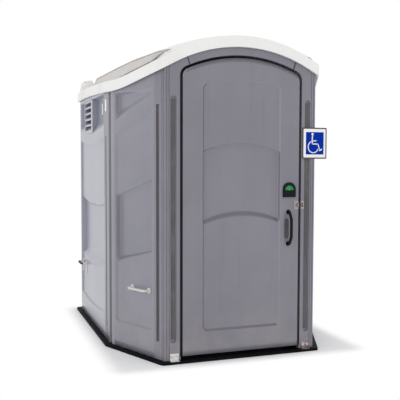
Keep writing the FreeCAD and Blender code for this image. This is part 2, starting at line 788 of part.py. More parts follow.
def eaves_level(y):
    """Lower edge of the rim at the sides: it swells gently towards the rear."""
    travel = min(max((y + mm.flange_bend) / 1100, 0), 1.25)
    return mm.eaves_height + EAVES_SWELL * math.sin(travel * math.pi / 2)


def arch_level(x):
    """Lower edge of the rim's round arch."""
    return mm.crown_height - mm.roof_radius + math.sqrt(mm.roof_radius ** 2 - x ** 2)


def rim_curve(y, rise):
    """Edges of the rim's curve across the cabin at a depth y, raised by a rise.

    A round arch runs on as a straight slope, and an arc turns the slope into the level eaves.
    """
    x = ARCH_HALF
    slope = math.asin(x / mm.roof_radius)
    level = eaves_level(y)
    meet = x + (arch_level(x) - level) / math.tan(slope)
    reach = EAVES_END - meet
    radius = reach / math.tan(slope / 2)
    foot = meet - reach * math.cos(slope)
    foot_level = level + reach * math.sin(slope)
    half_turn = (EAVES_END - radius * math.sin(slope / 2), level + radius * (1 - math.cos(slope / 2)))

    def spot(px, pz):
        return Vector(px, y, pz + rise)
    ends = [spot(side * EAVES_END, level) for side in (-1, 1)]
    edges = [Part.Arc(spot(-x, arch_level(x)), spot(0, mm.crown_height), spot(x, arch_level(x))).toShape()]
    for side in (-1, 1):
        edges.append(Part.makeLine(spot(side * x, arch_level(x)), spot(side * foot, foot_level)))
        edges.append(Part.Arc(spot(side * foot, foot_level), spot(side * half_turn[0], half_turn[1]),
                              spot(side * EAVES_END, level)).toShape())
    order = [edges[2], edges[1], edges[0], edges[3], edges[4]]
    return order, ends[0], ends[1]


def rim_slab(low, high):
    """Solid between two copies of the rim's curve, from front to rear."""
    sections = []
    for y in (-mm.flange_end, -mm.flange_bend, -50, 200, 450, 700, mm.flange_end):
        under, under_left, under_right = rim_curve(y, low)
        over, over_left, over_right = rim_curve(y, high)
        edges = under + [Part.makeLine(under_right, over_right)] + over[::-1] + [Part.makeLine(over_left, under_left)]
        sections.append(Part.Wire(Part.__sortEdges__(edges)))
    return Part.makeLoft(sections, True, True)


def roof_prism(overhang, low, high, rounding=0):
    """Upright prism over the wall's plan, grown by an overhang."""
    front, side = mm.wall_front + overhang, mm.wall_side_half + overhang
    rear = mm.wall_rear + overhang
    grow = overhang * math.tan(math.radians(90 + slant_turn) / 2)
    front_half = mm.wall_front_half + overhang * math.tan(math.radians(-slant_turn) / 2)
    bend = mm.wall_bend + grow
    outline = [(-front_half, -front), (front_half, -front), (side, -bend), (side, rear), (-side, rear),
               (-side, -bend), (-front_half, -front)]
    face = Part.Face(Part.makePolygon([Vector(x, y, low) for x, y in outline]))
    prism = face.extrude(Vector(0, 0, high - low))
    if rounding:
        corners = [edge for edge in prism.Edges if edge.BoundBox.ZLength > 1 and edge.BoundBox.YMin > rear - 1]
        prism = prism.makeFillet(rounding, corners)
        bends = [edge for edge in prism.Edges if edge.BoundBox.ZLength > high - low - 1
                 and edge.BoundBox.XLength < 1 and edge.BoundBox.YMax < 0]
        prism = prism.makeFillet(18, bends)
    return prism


# Raised centre: depth, shoulder half width and height, foot half width and height, crown height
RAISED = [
    (-962, 500, 2197, 516, 2120, 2312),
    (-925, 560, 2191, 590, 2090, 2314),
    (-862, 592, 2188, 632, 2060, 2316),
    (-410, 656, 2187, 712, 2030, 2328),
    (100, 668, 2195, 722, 2040, 2336),
    (890, 690, 2194, 742, 2040, 2336),
    (950, 660, 2130, 700, 2060, 2322),
]


def raised_block(inset, drop):
    """Solid of the raised centre, made smaller by an inset and reaching lower by a drop."""
    sections = []
    for y, half, shoulder, foot, base, crown in RAISED:
        end = inset if y == RAISED[0][0] else -inset if y == RAISED[-1][0] else 0
        corners = [Vector(-foot + inset, y + end, base - drop), Vector(-half + inset, y + end, shoulder - inset),
                   Vector(half - inset, y + end, shoulder - inset), Vector(foot - inset, y + end, base - drop)]
        top = Part.Arc(corners[1], Vector(0, y + end, crown - inset), corners[2]).toShape()
        sections.append(Part.Wire([Part.makeLine(corners[0], corners[1]), top,
                                   Part.makeLine(corners[2], corners[3]), Part.makeLine(corners[3], corners[0])]))
    return Part.makeLoft(sections, True, True)


PIPE_X = -60
PIPE_Y = 850
LIGHT_SPAN = (-952, 840)


def make_roof():
    """White roof: a rim band all round, a skin inside it and a raised centre with side lights."""
    outer = rim_slab(0, mm.rim_height).common(roof_prism(ROOF_OVERHANG, 1800, 2500, 60))
    upper = mm.rim_height - ROOF_SKIN
    hollow = rim_slab(ROOF_SKIN, upper).common(roof_prism(ROOF_OVERHANG - RIM_WALL, 1800, 2500, 52))
    walls = rim_slab(-50, upper).common(roof_prism(0, 1800, 2500))
    raised = raised_block(0, 0).cut(rim_slab(-300, upper))
    inside = raised_block(ROOF_SKIN, 30)
    shell = outer.cut(hollow).cut(walls).fuse(raised).cut(inside)
    pipe = Part.makeCylinder(mm.pipe_radius + 2, 600, Vector(PIPE_X, PIPE_Y, 2000))
    shell = shell.cut(pipe)
    raised_shell = raised_block(0, 0).cut(raised_block(ROOF_SKIN, 30)).cut(rim_slab(-300, mm.rim_height + 2))
    near, far = LIGHT_SPAN
    for name, side in (("left", -1), ("right", 1)):
        window = Part.makeBox(260, far - near, 90, Vector(480 if side > 0 else -740, near, 2086))
        shell = shell.cut(window.common(raised_shell))
        node(f"roof_light_{name}", solid_feature(f"light_{name}", biggest(raised_shell.common(window))))
    node("roof_shell", solid_feature("roof", biggest(shell.removeSplitter())))


def biggest(shape):
    """The largest solid of a shape."""
    return max(shape.Solids, key=lambda item: item.Volume)


def make_lugs():
    """Lifting eyes that stand on the rim at the two rear corners."""
    low = eaves_level(mm.wall_rear) + mm.rim_height
    depth, rear = 44, mm.wall_rear - 16
    outline = [(-850, low - 20), (-722, low - 20), (-716, low + 70), (-722, low + 104), (-742, low + 122),
               (-766, low + 120), (-810, low + 110), (-832, low + 92), (-842, low + 50)]
    corners = [Vector(x, rear - depth, z) for x, z in outline]
    lug = Part.Face(Part.makePolygon(corners + corners[:1])).extrude(Vector(0, depth, 0))
    lug = lug.makeFillet(5, [edge for edge in lug.Edges if edge.BoundBox.YLength < 1 and edge.BoundBox.ZMin > low])
    lug = lug.cut(Part.makeCylinder(11, 100, Vector(-804, rear - 70, low + 88), Vector(0, 1, 0)))
    lug = biggest(lug.cut(rim_slab(-300, mm.rim_height)))
    left = solid_feature("lug", lug)
    node("roof_lugs", group("roof_lugs", [left, mirrored("lug", left)]))


# Tank, vent, seat

TANK = (-800, 40, 402, 912)
BOWL_X, BOWL_Y = -335, 590
SEAT_HINGE_Y = 755


def make_tank():
    """Open-topped holding tank, its deck with the bowl hole, and the collar in that hole."""
    left, right, front, rear = TANK
    tank = new_body("tank")
    plan = sketch_on(tank, "XY", dim.floor_height)
    draw_box(plan, left, front, right, rear)
    extrude(tank, plan, dim.tank_height)
    inside = sketch_on(tank, "XY", dim.floor_height + dim.tank_wall)
    wall = dim.tank_wall
    draw_box(inside, left + wall, front + wall, right - wall, rear - wall)
    hollow = extrude(tank, inside, dim.tank_height, "Pocket", backwards=True)
    fillet_where(tank, hollow, 5, lambda spot, edge: edge.BoundBox.ZLength > mm.tank_height - 1
                 and min(abs(spot.x - left), abs(spot.x - right)) < 1)
    node("holding_tank", tank)
    deck = new_body("deck")
    top = dim.floor_height + dim.tank_height
    plate = sketch_on(deck, "XY", top)
    draw_box(plate, left - 8, front - 12, right + 8, rear + 8)
    draw_outline(plate, rounded_slot(BOWL_X, 118, BOWL_Y - 145, BOWL_Y + 145))
    draw_circle(plate, PIPE_X, PIPE_Y, dim.pipe_radius + 1)
    sheet_part = extrude(deck, plate, 9)
    fillet_where(deck, sheet_part, 3, lambda spot, edge: spot.z > top.value + 8 and
                 (abs(spot.y - (front - 12)) < 1 or abs(spot.x - (right + 8)) < 1))
    node("tank_deck", deck)
    collar = new_body("collar")
    lip = sketch_on(collar, "XY", top + 9)
    draw_outline(lip, rounded_slot(BOWL_X, 126, BOWL_Y - 153, BOWL_Y + 149))
    extrude(collar, lip, 4)
    rim = sketch_on(collar, "XY", top + 9)
    draw_outline(rim, rounded_slot(BOWL_X, 117, BOWL_Y - 144, BOWL_Y + 144))
    outlet = sketch_on(collar, "XY", top - 110)
    draw_outline(outlet, rounded_slot(BOWL_X, 85, BOWL_Y - 110, BOWL_Y + 110))
    loft(collar, rim, outlet)
    mouth = sketch_on(collar, "XY", top + 13)
    draw_outline(mouth, rounded_slot(BOWL_X, 112, BOWL_Y - 139, BOWL_Y + 139))
    throat = sketch_on(collar, "XY", top - 110)
    draw_outline(throat, rounded_slot(BOWL_X, 80, BOWL_Y - 105, BOWL_Y + 105))
    loft(collar, mouth, throat, "SubtractiveLoft")
    node("bowl_collar", collar)


def make_vent():
    """Vent pipe from the tank deck through the roof, and the cap on it."""
    pipe = new_body("pipe")
    low, high, wall = dim.floor_height + dim.tank_height - 40, 2372, 4
    ring = sketch_on(pipe, "XY", low)
    draw_circle(ring, PIPE_X, PIPE_Y, dim.pipe_radius)
    draw_circle(ring, PIPE_X, PIPE_Y, dim.pipe_radius - wall)
    extrude(pipe, ring, high - low)
    node("vent_pipe", pipe)
    cap = new_body("cap")
    profile = sketch_on(cap, "XZ")
    inner = dim.pipe_radius - wall - 0.05
    draw_outline(profile, [(0, 2382), (78, 2374), (84, 2376), (84, 2388), (62, 2400), (0, 2404)])
    revolve(cap, profile)
    stem = sketch_on(cap, "XY", high - 30)
    draw_circle(stem, 0, 0, inner)
    draw_circle(stem, 0, 0, inner - 6)
    skirt = extrude(cap, stem, 30)
    ribs = sketch_on(cap, "XY", high)
    for x, y in ((-1, 0), (1, 0), (0, -1), (0, 1)):
        draw_box(ribs, x * 44 - 5, y * 44 - 5, x * 44 + 5, y * 44 + 5)
    extrude(cap, ribs, 12)
    cap.Placement = Placement(Vector(PIPE_X, PIPE_Y, 0), Rotation())
    node("vent_cap", cap)


SEAT_LOW = 452
SEAT_THICK = 22
HINGE_Z = 476


def make_seat():
    """Seat ring, raised lid and the hinge they share."""
    seat = new_body("seat")
    ring = sketch_on(seat, "XY", SEAT_LOW)
    draw_outline(ring, rounded_slot(BOWL_X, 172, BOWL_Y - 208, BOWL_Y + 142))
    draw_outline(ring, rounded_slot(BOWL_X, 108, BOWL_Y - 138, BOWL_Y + 100))
    pad = extrude(seat, ring, SEAT_THICK)
    fillet_where(seat, pad, 7, lambda spot, edge: spot.z > SEAT_LOW + SEAT_THICK - 1)
    arms = sketch_on(seat, "XY", SEAT_LOW + 2)
    for side in (-1, 1):
        centre = BOWL_X + side * 78
        draw_box(arms, centre - 14, BOWL_Y + 110, centre + 14, SEAT_HINGE_Y)
    extrude(seat, arms, 14)
    ears = sketch_on(seat, "YZ", BOWL_X - 92)
    draw_circle(ears, SEAT_HINGE_Y, HINGE_Z, 10)
    extrude(seat, ears, 28)
    ears = sketch_on(seat, "YZ", BOWL_X + 64)
    draw_circle(ears, SEAT_HINGE_Y, HINGE_Z, 10)
    extrude(seat, ears, 28)
    bore = sketch_on(seat, "YZ", BOWL_X - 200)
    draw_circle(bore, SEAT_HINGE_Y, HINGE_Z, 5.05)
    extrude(seat, bore, 400, "Pocket", backwards=True)
    node("toilet_seat", seat)
    lid = new_body("lid")
    shell = sketch_on(lid, "XY", SEAT_LOW + SEAT_THICK + 4)
    draw_outline(shell, rounded_slot(BOWL_X, 168, BOWL_Y - 204, BOWL_Y + 140))
    plate = extrude(lid, shell, 14)
    fillet_where(lid, plate, 8, lambda spot, edge: spot.z > SEAT_LOW + SEAT_THICK + 4 + 13)
    arm = sketch_on(lid, "XY", SEAT_LOW + SEAT_THICK + 5)
    draw_box(arm, BOWL_X - 38, BOWL_Y + 120, BOWL_X + 38, SEAT_HINGE_Y)
    extrude(lid, arm, 12)
    knuckle = sketch_on(lid, "YZ", BOWL_X - 38)
    draw_circle(knuckle, SEAT_HINGE_Y, HINGE_Z, 10)
    extrude(lid, knuckle, 76)
    bore = sketch_on(lid, "YZ", BOWL_X - 200)
    draw_circle(bore, SEAT_HINGE_Y, HINGE_Z, 5.05)
    extrude(lid, bore, 400, "Pocket", backwards=True)
    lid.Placement = turned_about(Vector(0, SEAT_HINGE_Y, HINGE_Z), Vector(-1, 0, 0), LID_RAISED)
    node("toilet_lid", lid)
    blocks = []
    for side in (-1, 1):
        centre = BOWL_X + side * 51
        foot = mm.floor_height + mm.tank_height + 9
        stand = block("hinge_stand", (centre - 11, SEAT_HINGE_Y - 12, foot), (centre + 11, SEAT_HINGE_Y + 12, HINGE_Z + 11))
        hole = cylinder("stand_hole", 5, 60, (centre - 30, SEAT_HINGE_Y, HINGE_Z), (1, 0, 0))
        blocks.append(cut("stand", stand, [hole]))
    node("seat_hinge_blocks", group("seat_hinge_blocks", blocks))
    pin = cylinder("seat_pin", 5, 200, (BOWL_X - 100, SEAT_HINGE_Y, HINGE_Z), (1, 0, 0))
    node("seat_hinge_pin", pin)


LID_RAISED = 97


def turned_about(centre, axis, angle):
    """Placement that turns a piece about a line."""
    return Placement(Vector(), Rotation(axis, angle), centre)


# Fittings on the walls

def bent_bar(name, points, radius, bend, profile_plane, path_plane, lift, start):
    """Round bar along a path with rounded corners."""
    body = new_body(name)
    path = sketch_on(body, path_plane, lift)
    corners = rounded_path(points, bend)
    draw_outline(path, corners, closed=False)
    section = sketch_on(body, profile_plane, start[2])
    draw_circle(section, start[0], start[1], radius)
    pipe = body.newObject("PartDesign::AdditivePipe", f"{name}_pipe")
    pipe.Profile = section
    pipe.Spine = path
    return body


def rounded_path(points, bend):
    """Corners of an open path whose inner points are rounded by arcs of one radius."""
    corners = [points[0]]
    for before, here, after in zip(points, points[1:], points[2:]):
        here_v = Vector(here[0], here[1], 0)
        back = (Vector(before[0], before[1], 0) - here_v).normalize()
        ahead = (Vector(after[0], after[1], 0) - here_v).normalize()
        turn = math.pi - back.getAngle(ahead)
        cut_back = bend * math.tan(turn / 2)
        first, second = here_v + back * cut_back, here_v + ahead * cut_back
        bow = bend * (1 - math.cos(turn / 2))
        side = 1 if (-back).cross(ahead).z < 0 else -1
        corners.append((first.x, first.y, side * bow))
        corners.append((second.x, second.y))
    corners.append(points[-1])
    return corners


BAR_Z = 860
WALL_INNER = 797
REAR_INNER = 924


def make_grab_bars():
    """Grab bars on the side and rear walls beside the seat, with round flanges."""
    reach = 55
    ends = (-90, 824)
    side = bent_bar("side_bar", [(-WALL_INNER, ends[0]), (-WALL_INNER + reach, ends[0]),
                                 (-WALL_INNER + reach, ends[1]), (-WALL_INNER, ends[1])],
                    dim.bar_radius, 38, "YZ", "XY", BAR_Z, (ends[0], BAR_Z, -WALL_INNER))
    flanges = [cylinder("bar_flange", 38, 5, (-WALL_INNER, y, BAR_Z), (1, 0, 0)) for y in ends]
    node("grab_bar_side", fuse("side_bar", [side] + flanges))
    ends = (-735, -165)
    rear = bent_bar("rear_bar", [(ends[0], REAR_INNER), (ends[0], REAR_INNER - reach),
                                 (ends[1], REAR_INNER - reach), (ends[1], REAR_INNER)],
                    dim.bar_radius, 38, "XZ", "XY", BAR_Z, (ends[0], BAR_Z, -REAR_INNER))
    flanges = [cylinder("bar_flange", 38, 5, (x, REAR_INNER, BAR_Z), (0, -1, 0)) for x in ends]
    node("grab_bar_rear", fuse("rear_bar", [rear] + flanges))


ROLL_Z = 665
ROLL_X = -727
ROLL_CORE = 20


def make_paper_holder():
    """Wall bracket with a spindle for two paper rolls."""
    low, high = 186, 418
    back = block("holder_back", (-WALL_INNER, low, ROLL_Z - 50), (-WALL_INNER + 4, high, ROLL_Z + 50))
    pieces = [back]
    for y in (low, high - 4):
        pieces.append(block("holder_arm", (-WALL_INNER, y, ROLL_Z - 28), (ROLL_X + 26, y + 4, ROLL_Z + 28)))
    spindle = cylinder("holder_spindle", ROLL_CORE - 0.05, high - low, (ROLL_X, low, ROLL_Z), (0, 1, 0))
    node("paper_holder", fuse("holder", pieces + [spindle]))
    for name, start in (("front", low + 8), ("rear", low + 120)):
        roll = new_body(f"roll_{name}")
        ring = sketch_on(roll, "XZ", -start)
        draw_circle(ring, ROLL_X, ROLL_Z, 54)
        draw_circle(ring, ROLL_X, ROLL_Z, ROLL_CORE)
        extrude(roll, ring, 104, backwards=True)
        node(f"paper_roll_{name}", roll)


LEVER_PIVOT_X = 722
LEVER_PIVOT_Z = 851
LEVER_PIN_RADIUS = 3


def make_sanitizer():
    """Hand sanitizer dispenser on the right wall, with its push lever on a pin."""
    case = new_body("case")
    back, front, low, high, half = WALL_INNER, WALL_INNER - 92, 800, 1030, 55
    profile = sketch_on(case, "XZ", half)
    draw_outline(profile, [(front, low), (back, low), (back, high), (front + 22, high, 6), (front, high - 34)])
    extrude(case, profile, 2 * half, backwards=True)
    mouth = sketch_on(case, "XZ", half - 11)
    draw_box(mouth, front - 10, low - 10, front + 34, low + 62)
    extrude(case, mouth, 2 * (half - 11), "Pocket")
    pin = cylinder("lever_pin", LEVER_PIN_RADIUS, 2 * half - 4, (LEVER_PIVOT_X, 2 - half, LEVER_PIVOT_Z), (0, 1, 0))
    node("sanitizer_case", fuse("case", [case, pin]))
    lever = new_body("lever")
    side = sketch_on(lever, "XZ", 40)
    hub_half, hub_low, hub_high = 10, LEVER_PIVOT_Z - 8, LEVER_PIVOT_Z + 8
    left, right = LEVER_PIVOT_X - hub_half, LEVER_PIVOT_X + hub_half
    draw_outline(side, [(right, hub_high), (left, hub_high), (left, hub_low), (left - 14, low - 16),
                        (left - 8, low - 18), (left + 7, hub_low), (right, hub_low)])
    extrude(lever, side, 80, backwards=True)
    bore = sketch_on(lever, "XZ", 60)
    draw_circle(bore, LEVER_PIVOT_X, LEVER_PIVOT_Z, LEVER_PIN_RADIUS + 0.05)
    extrude(lever, bore, 120, "Pocket")
    node("sanitizer_lever", lever)


def make_coat_hook():
    """Hook for coats on the right wall."""
    x, y, z = 825, -120, 1460
    plate = block("hook_plate", (x - 4, y - 22, z - 40), (x, y + 22, z + 30))
    arm = cylinder("hook_arm", 6, 46, (x - 2, y, z - 20), (-1, 0, 0.25))
    tip = cylinder("hook_tip", 6, 34, (x - 45, y, z - 9.5), (-0.35, 0, 1))
    node("coat_hook", fuse("hook", [plate, arm, tip]))


def make_sign():
    """Flat sign plate on the right front post, reaching past its corner."""
    body = new_body("sign")
    plate = sketch_on(body, "XZ", dim.wall_front)
    draw_box(plate, 475, 1440, 678, 1671)
    extrude(body, plate, 4)
    node("sign_plate", body)


def make_carry_handles():
    """Bow handles on the left slanted wall and near the rear of both side walls."""
    pieces = []
    face, reach, height_of_foot = mm.field_depth, 48, 5
    for frame, centre, half, height in ((SLANT_FRAME, 366, 97, 492), (SIDE_FRAME, 162, 80, 478)):
        left, right = centre - half, centre + half
        bow = bent_bar("handle", [(left, face), (left, face - reach), (right, face - reach), (right, face)],
                       9, 22, "XZ", "XY", height, (left, height, -face))
        if frame is SLANT_FRAME:
            feet = [cylinder("handle_foot", 20, height_of_foot, (along, face, height), (0, -1, 0))
                    for along in (left, right)]
        else:
            feet = [block("handle_foot", (along - 20, face - height_of_foot, 387), (along + 20, face, 503))
                    for along in (left, right)]
        whole = fuse("handle", [bow] + feet)
        whole.Placement = frame
        pieces.append(whole)
        if frame is SIDE_FRAME:
            pieces.append(mirrored("handle", whole))
    node("carry_handles", group("carry_handles", pieces))


def make_rivets():
    """Rivet heads down the margins of the formed wall sheets."""
    heads = []
    walls = [(SLANT_FRAME, (67, 520), True), (SIDE_FRAME, (41, 1150), True), (REAR_FRAME, (75, 1611), False)]
    radius, proud, lowest, pitch, rows = 4.5, 1.5, 150, 340, 6
    for frame, places, both in walls:
        for along in places:
            for row in range(rows):
                head = cylinder("rivet", radius, proud, (along, 0, lowest + row * pitch), (0, -1, 0))
                head.Placement = frame.multiply(head.Placement)
                heads.append(head)
                if both:
                    heads.append(mirrored("rivet", head))
    node("wall_rivets", group("wall_rivets", heads))


# Door

STOP_WIDE = 24


def make_stop_frame():
    """Dark stop frame behind the door's edge, round three sides of the opening."""
    body = new_body("stop_frame")
    ring = sketch_on(body, "XZ", dim.wall_front - 40)
    low = dim.floor_height + 8
    outer, inner = doorway_outline(0, low), doorway_outline(STOP_WIDE, low)
    climb = [(-inner[2][0], inner[2][1], -inner[2][2]), (-inner[3][0], inner[3][1], -inner[3][2]),
             (inner[3][0], inner[3][1], -inner[4][2]), (inner[2][0], inner[2][1])]
    draw_outline(ring, [outer[0], inner[0]] + climb + [inner[1], outer[1]] + outer[2:])
    extrude(body, ring, 6, backwards=True)
    node("door_stop_frame", body)


DOOR_BANDS = [
    (300, ("line", 207, 207), (1956, 44), 10, (6, 10, 6)),
    (300, (973, 58), (1497, 62), 24, (6, (27, 66), 14)),
]


def press_door_band(body, half, low, high, depth, slopes, grow, kind):
    """Press one band of the door's relief, its edges arched upwards.

    The lower slope is a rise, or a rise and the height of the inner edge's own arch.
    """
    side, low_slope, high_slope = slopes
    low_slope, inner_arch = low_slope if isinstance(low_slope, tuple) else (low_slope, low[-1])

    def corners(reach, low_rise, high_rise, arch):
        first = (-reach, low[1] + low_rise) if low[0] == "line" else (-reach, low[0] + low_rise, arch)
        return [first, (reach, (low[1] if low[0] == "line" else low[0]) + low_rise),
                (reach, high[0] + high_rise, -high[1]), (-reach, high[0] + high_rise)]
    near = sketch_on(body, "XZ", dim.wall_front)
    draw_outline(near, corners(half + grow, -grow, grow, low[-1]))
    deep = sketch_on(body, "XZ", dim.wall_front - depth - grow)
    draw_outline(deep, corners(half - side + grow, low_slope - grow, grow - high_slope, inner_arch))
    loft(body, near, deep, kind)


def make_door_skins():
    """Outer door skin with its pressed bands, and the plain inner skin."""
    outer = new_body("outer_skin")
    face = sketch_on(outer, "XZ", dim.wall_front)
    draw_outline(face, doorway_outline(dim.door_gap, dim.door_bottom))
    half_depth = 20
    extrude(outer, face, half_depth, backwards=True)
    back = sketch_on(outer, "XZ", dim.wall_front - half_depth)
    draw_outline(back, doorway_outline(dim.door_gap + dim.skin_thick, dim.door_bottom + dim.skin_thick))
    extrude(outer, back, half_depth - dim.skin_thick, "Pocket", backwards=True)
    for kind, grow in (("AdditiveLoft", mm.skin_thick), ("SubtractiveLoft", 0)):
        for half, low, high, depth, slopes in DOOR_BANDS:
            press_door_band(outer, half, low, high, depth, slopes, grow, kind)
    spindle = sketch_on(outer, "XZ", dim.wall_front + 5)
    draw_circle(spindle, LATCH_X, LATCH_Z, 5.5)
    extrude(outer, spindle, 60, "Pocket")
    node("door_outer_skin", outer)
    inner = new_body("inner_skin")
    front = sketch_on(inner, "XZ", dim.wall_front - half_depth)
    draw_outline(front, doorway_outline(dim.door_gap, dim.door_bottom))
    extrude(inner, front, dim.door_thick - half_depth, backwards=True)
    hollow = sketch_on(inner, "XZ", dim.wall_front - half_depth)
    draw_outline(hollow, doorway_outline(dim.door_gap + dim.skin_thick, dim.door_bottom + dim.skin_thick))
    extrude(inner, hollow, dim.door_thick - half_depth - dim.skin_thick, "Pocket")
    spindle = sketch_on(inner, "XZ", dim.wall_front)
    draw_circle(spindle, LATCH_X, LATCH_Z, 5.5)
    extrude(inner, spindle, 90, "Pocket")
    node("door_inner_skin", inner)


LATCH_X = 370
LATCH_Z = 1207
HINGE_SPANS = [(62, 380), (381, 700), (701, 1020), (1021, 1340), (1341, 1660), (1661, 1980)]


def make_hinge():
    """Full-height hinge: knuckles in turn on the jamb and on the door, round one long rod."""
    x, y = -(mm.opening_half - mm.door_gap / 2), -mm.wall_front + 3
    leaves = {"frame": [], "door": []}
    for number, (low, high) in enumerate(HINGE_SPANS):
        owner = "door" if number % 2 else "frame"
        knuckle = cylinder("knuckle", dim.hinge_radius, high - low, (x, y, low), (0, 0, 1))
        if owner == "frame":
            plate = block("hinge_plate", (-mm.opening_half, y, low), (-mm.opening_half + 3, y + 30, high))
        else:
            edge = -mm.opening_half + mm.door_gap
            plate = block("hinge_plate", (edge - 3, y, low), (edge, y + 30, high))
        bore = cylinder("hinge_bore", dim.rod_radius + 0.05, high - low + 4, (x, y, low - 2), (0, 0, 1))
        leaves[owner].append(cut("hinge", fuse("hinge", [knuckle, plate]), [bore]))
    node("hinge_leaf_frame", group("hinge_leaf_frame", leaves["frame"]))
    node("hinge_leaf_door", group("hinge_leaf_door", leaves["door"]))
    rod = cylinder("rod", dim.rod_radius, 1934, (x, y, 56), (0, 0, 1))
    node("hinge_rod", rod)


PULL_X = 367


def make_pulls():
    """Bow pulls outside and inside the door, and the backplate beside the outer one."""
    front, back = -mm.wall_front, -mm.wall_front + mm.door_thick
    outer = bent_bar("outer_pull", [(front, 1048), (front - 22, 1048), (front - 54, 996), (front - 54, 866),
                                    (front - 22, 814), (front, 814)],
                     11, 18, "XZ", "YZ", PULL_X, (PULL_X, 1048, -front))
    feet = [cylinder("pull_foot", 17, 4, (PULL_X, front, z), (0, -1, 0)) for z in (1048, 814)]
    node("door_pull_outer", fuse("outer_pull", [outer] + feet))
    inner = bent_bar("inner_pull", [(back, 1030), (back + 45, 1030), (back + 45, 850), (back, 850)],
                     10, 22, "XZ", "YZ", 350, (350, 1030, -back))
    feet = [cylinder("pull_foot", 16, 4, (350, back, z), (0, 1, 0)) for z in (1030, 850)]
    node("door_pull_inner", fuse("inner_pull", [inner] + feet))
    plate = new_body("backplate")
    face = sketch_on(plate, "XZ", dim.wall_front)
    draw_outline(face, rounded_slot(PULL_X - 13, 17, 850, 1002))
    extrude(plate, face, 3)
    node("pull_backplate", plate)


HOUSING_DEPTH = 16
HOUSING_WALL = 4
DISC_RADIUS = 42
SPINDLE_RADIUS = 5
BOLT_BACK = 13


def make_latch():
    """Turning latch: housing with a window, the disc behind it, and the bolt with its knob inside."""
    front, back = -mm.wall_front, -mm.wall_front + mm.door_thick
    housing = new_body("housing")
    face = sketch_on(housing, "XZ", dim.wall_front)
    draw_outline(face, [(320, 1158), (420, 1158), (420, 1216, -50), (320, 1216)])
    extrude(housing, face, HOUSING_DEPTH)
    chamber = sketch_on(housing, "XZ", dim.wall_front)
    draw_circle(chamber, LATCH_X, LATCH_Z, DISC_RADIUS + 2)
    extrude(housing, chamber, HOUSING_DEPTH - HOUSING_WALL, "Pocket", backwards=True)
    window = sketch_on(housing, "XZ", dim.wall_front)
    half = DISC_RADIUS - 6
    draw_outline(window, [(LATCH_X - half, LATCH_Z + 2), (LATCH_X + half, LATCH_Z + 2, -half)])
    extrude(housing, window, HOUSING_DEPTH + 2, "Pocket", backwards=True)
    node("indicator_housing", housing)
    disc = cylinder("disc_plate", DISC_RADIUS, 3, (LATCH_X, front - 5, LATCH_Z), (0, -1, 0))
    hole = cylinder("disc_hole", SPINDLE_RADIUS, 20, (LATCH_X, front, LATCH_Z), (0, -1, 0))
    node("indicator_disc", cut("disc", disc, [hole]))
    near = back + BOLT_BACK
    spindle = cylinder("spindle", SPINDLE_RADIUS, near + 34 - (front - 8), (LATCH_X, front - 8, LATCH_Z), (0, 1, 0))
    arm = block("bolt_arm", (LATCH_X - 12, near, LATCH_Z), (LATCH_X + 12, near + 8, LATCH_Z + 112))
    hub = cylinder("bolt_hub", 18, 8, (LATCH_X, near, LATCH_Z), (0, 1, 0))
    node("latch_bolt", fuse("bolt", [spindle, arm, hub]))
    knob = cylinder("knob_disc", 24, 16, (LATCH_X, near + 34, LATCH_Z), (0, 1, 0))
    grip = block("knob_grip", (LATCH_X - 7, near + 50, LATCH_Z - 24), (LATCH_X + 7, near + 64, LATCH_Z + 24))
    node("latch_knob", fuse("knob", [knob, grip]))
    strike = block("strike", (467, -mm.wall_front + mm.post_depth, LATCH_Z - 45),
                   (523, -mm.wall_front + mm.post_depth + 3, LATCH_Z + 45))
    node("door_strike", strike)


def make_hasps():
    """Padlock staples on the door and on the jamb."""
    front = -mm.wall_front
    for name, left, right, tab in (("hasp_door", 413, 448, (436, 441)), ("hasp_jamb", 467, 494, (474, 479))):
        plate = block(f"{name}_plate", (left, front - 3, 1068), (right, front, 1130))
        ear = block(f"{name}_ear", (tab[0], front - 27, 1084), (tab[1], front, 1114))
        hole = cylinder(f"{name}_hole", 5, 20, (tab[0] - 8, front - 16, 1099), (1, 0, 0))
        node(name, cut(name, fuse(name, [plate, ear]), [hole]))


def main():
    make_base()
    make_floor()
    make_anchors()
    make_front_post()
    make_header()
    make_side_post()
    make_rear_post()
    make_slot_strips()
    make_corner_panel()
    make_side_panel()
    make_rear_panel()
    make_vent_hood()
    make_roof()
    make_lugs()
    make_tank()
    make_vent()
    make_seat()
    make_grab_bars()
    make_paper_holder()
    make_sanitizer()
    make_coat_hook()
    make_sign()
    make_carry_handles()
    make_rivets()
    make_stop_frame()
    make_door_skins()
    make_hinge()
    make_pulls()
    make_latch()
    make_hasps()
    doc.recompute()
    failed = [item.Name for item in doc.Objects if {"Invalid", "Error"} & set(item.State)]
    if failed:
        raise RuntimeError(f"objects that failed: {failed}")
    for label, thing in nodes.items():
        if thing.Shape.isNull() or not thing.Shape.isValid():
            raise RuntimeError(f"{label} has no valid shape")
    for label, thing in nodes.items():
        thing.Shape.exportStep(f"parts/{label}.step")
        box = thing.Shape.BoundBox
        print(f"{label}: {len(thing.Shape.Solids)} solids, {thing.Shape.Volume / 1e6:.3f} litres, "
              f"x {box.XMin:.0f}..{box.XMax:.0f}, y {box.YMin:.0f}..{box.YMax:.0f}, z {box.ZMin:.0f}..{box.ZMax:.0f}")


main()
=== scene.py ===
# %% [markdown]
# A wide portable toilet cabin stands on a black base. Its walls are formed plastic sheets held by
# upright posts, its door has an arched top and a hinge of full height, and a white roof with a
# raised centre closes it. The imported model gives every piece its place. This lesson gives the
# pieces that are seen their soft edges, their pressed bands and their finishes.

# %% Load the frame
import json
import math

import bmesh
import bpy
import numpy as np
from mathutils import Matrix, Vector


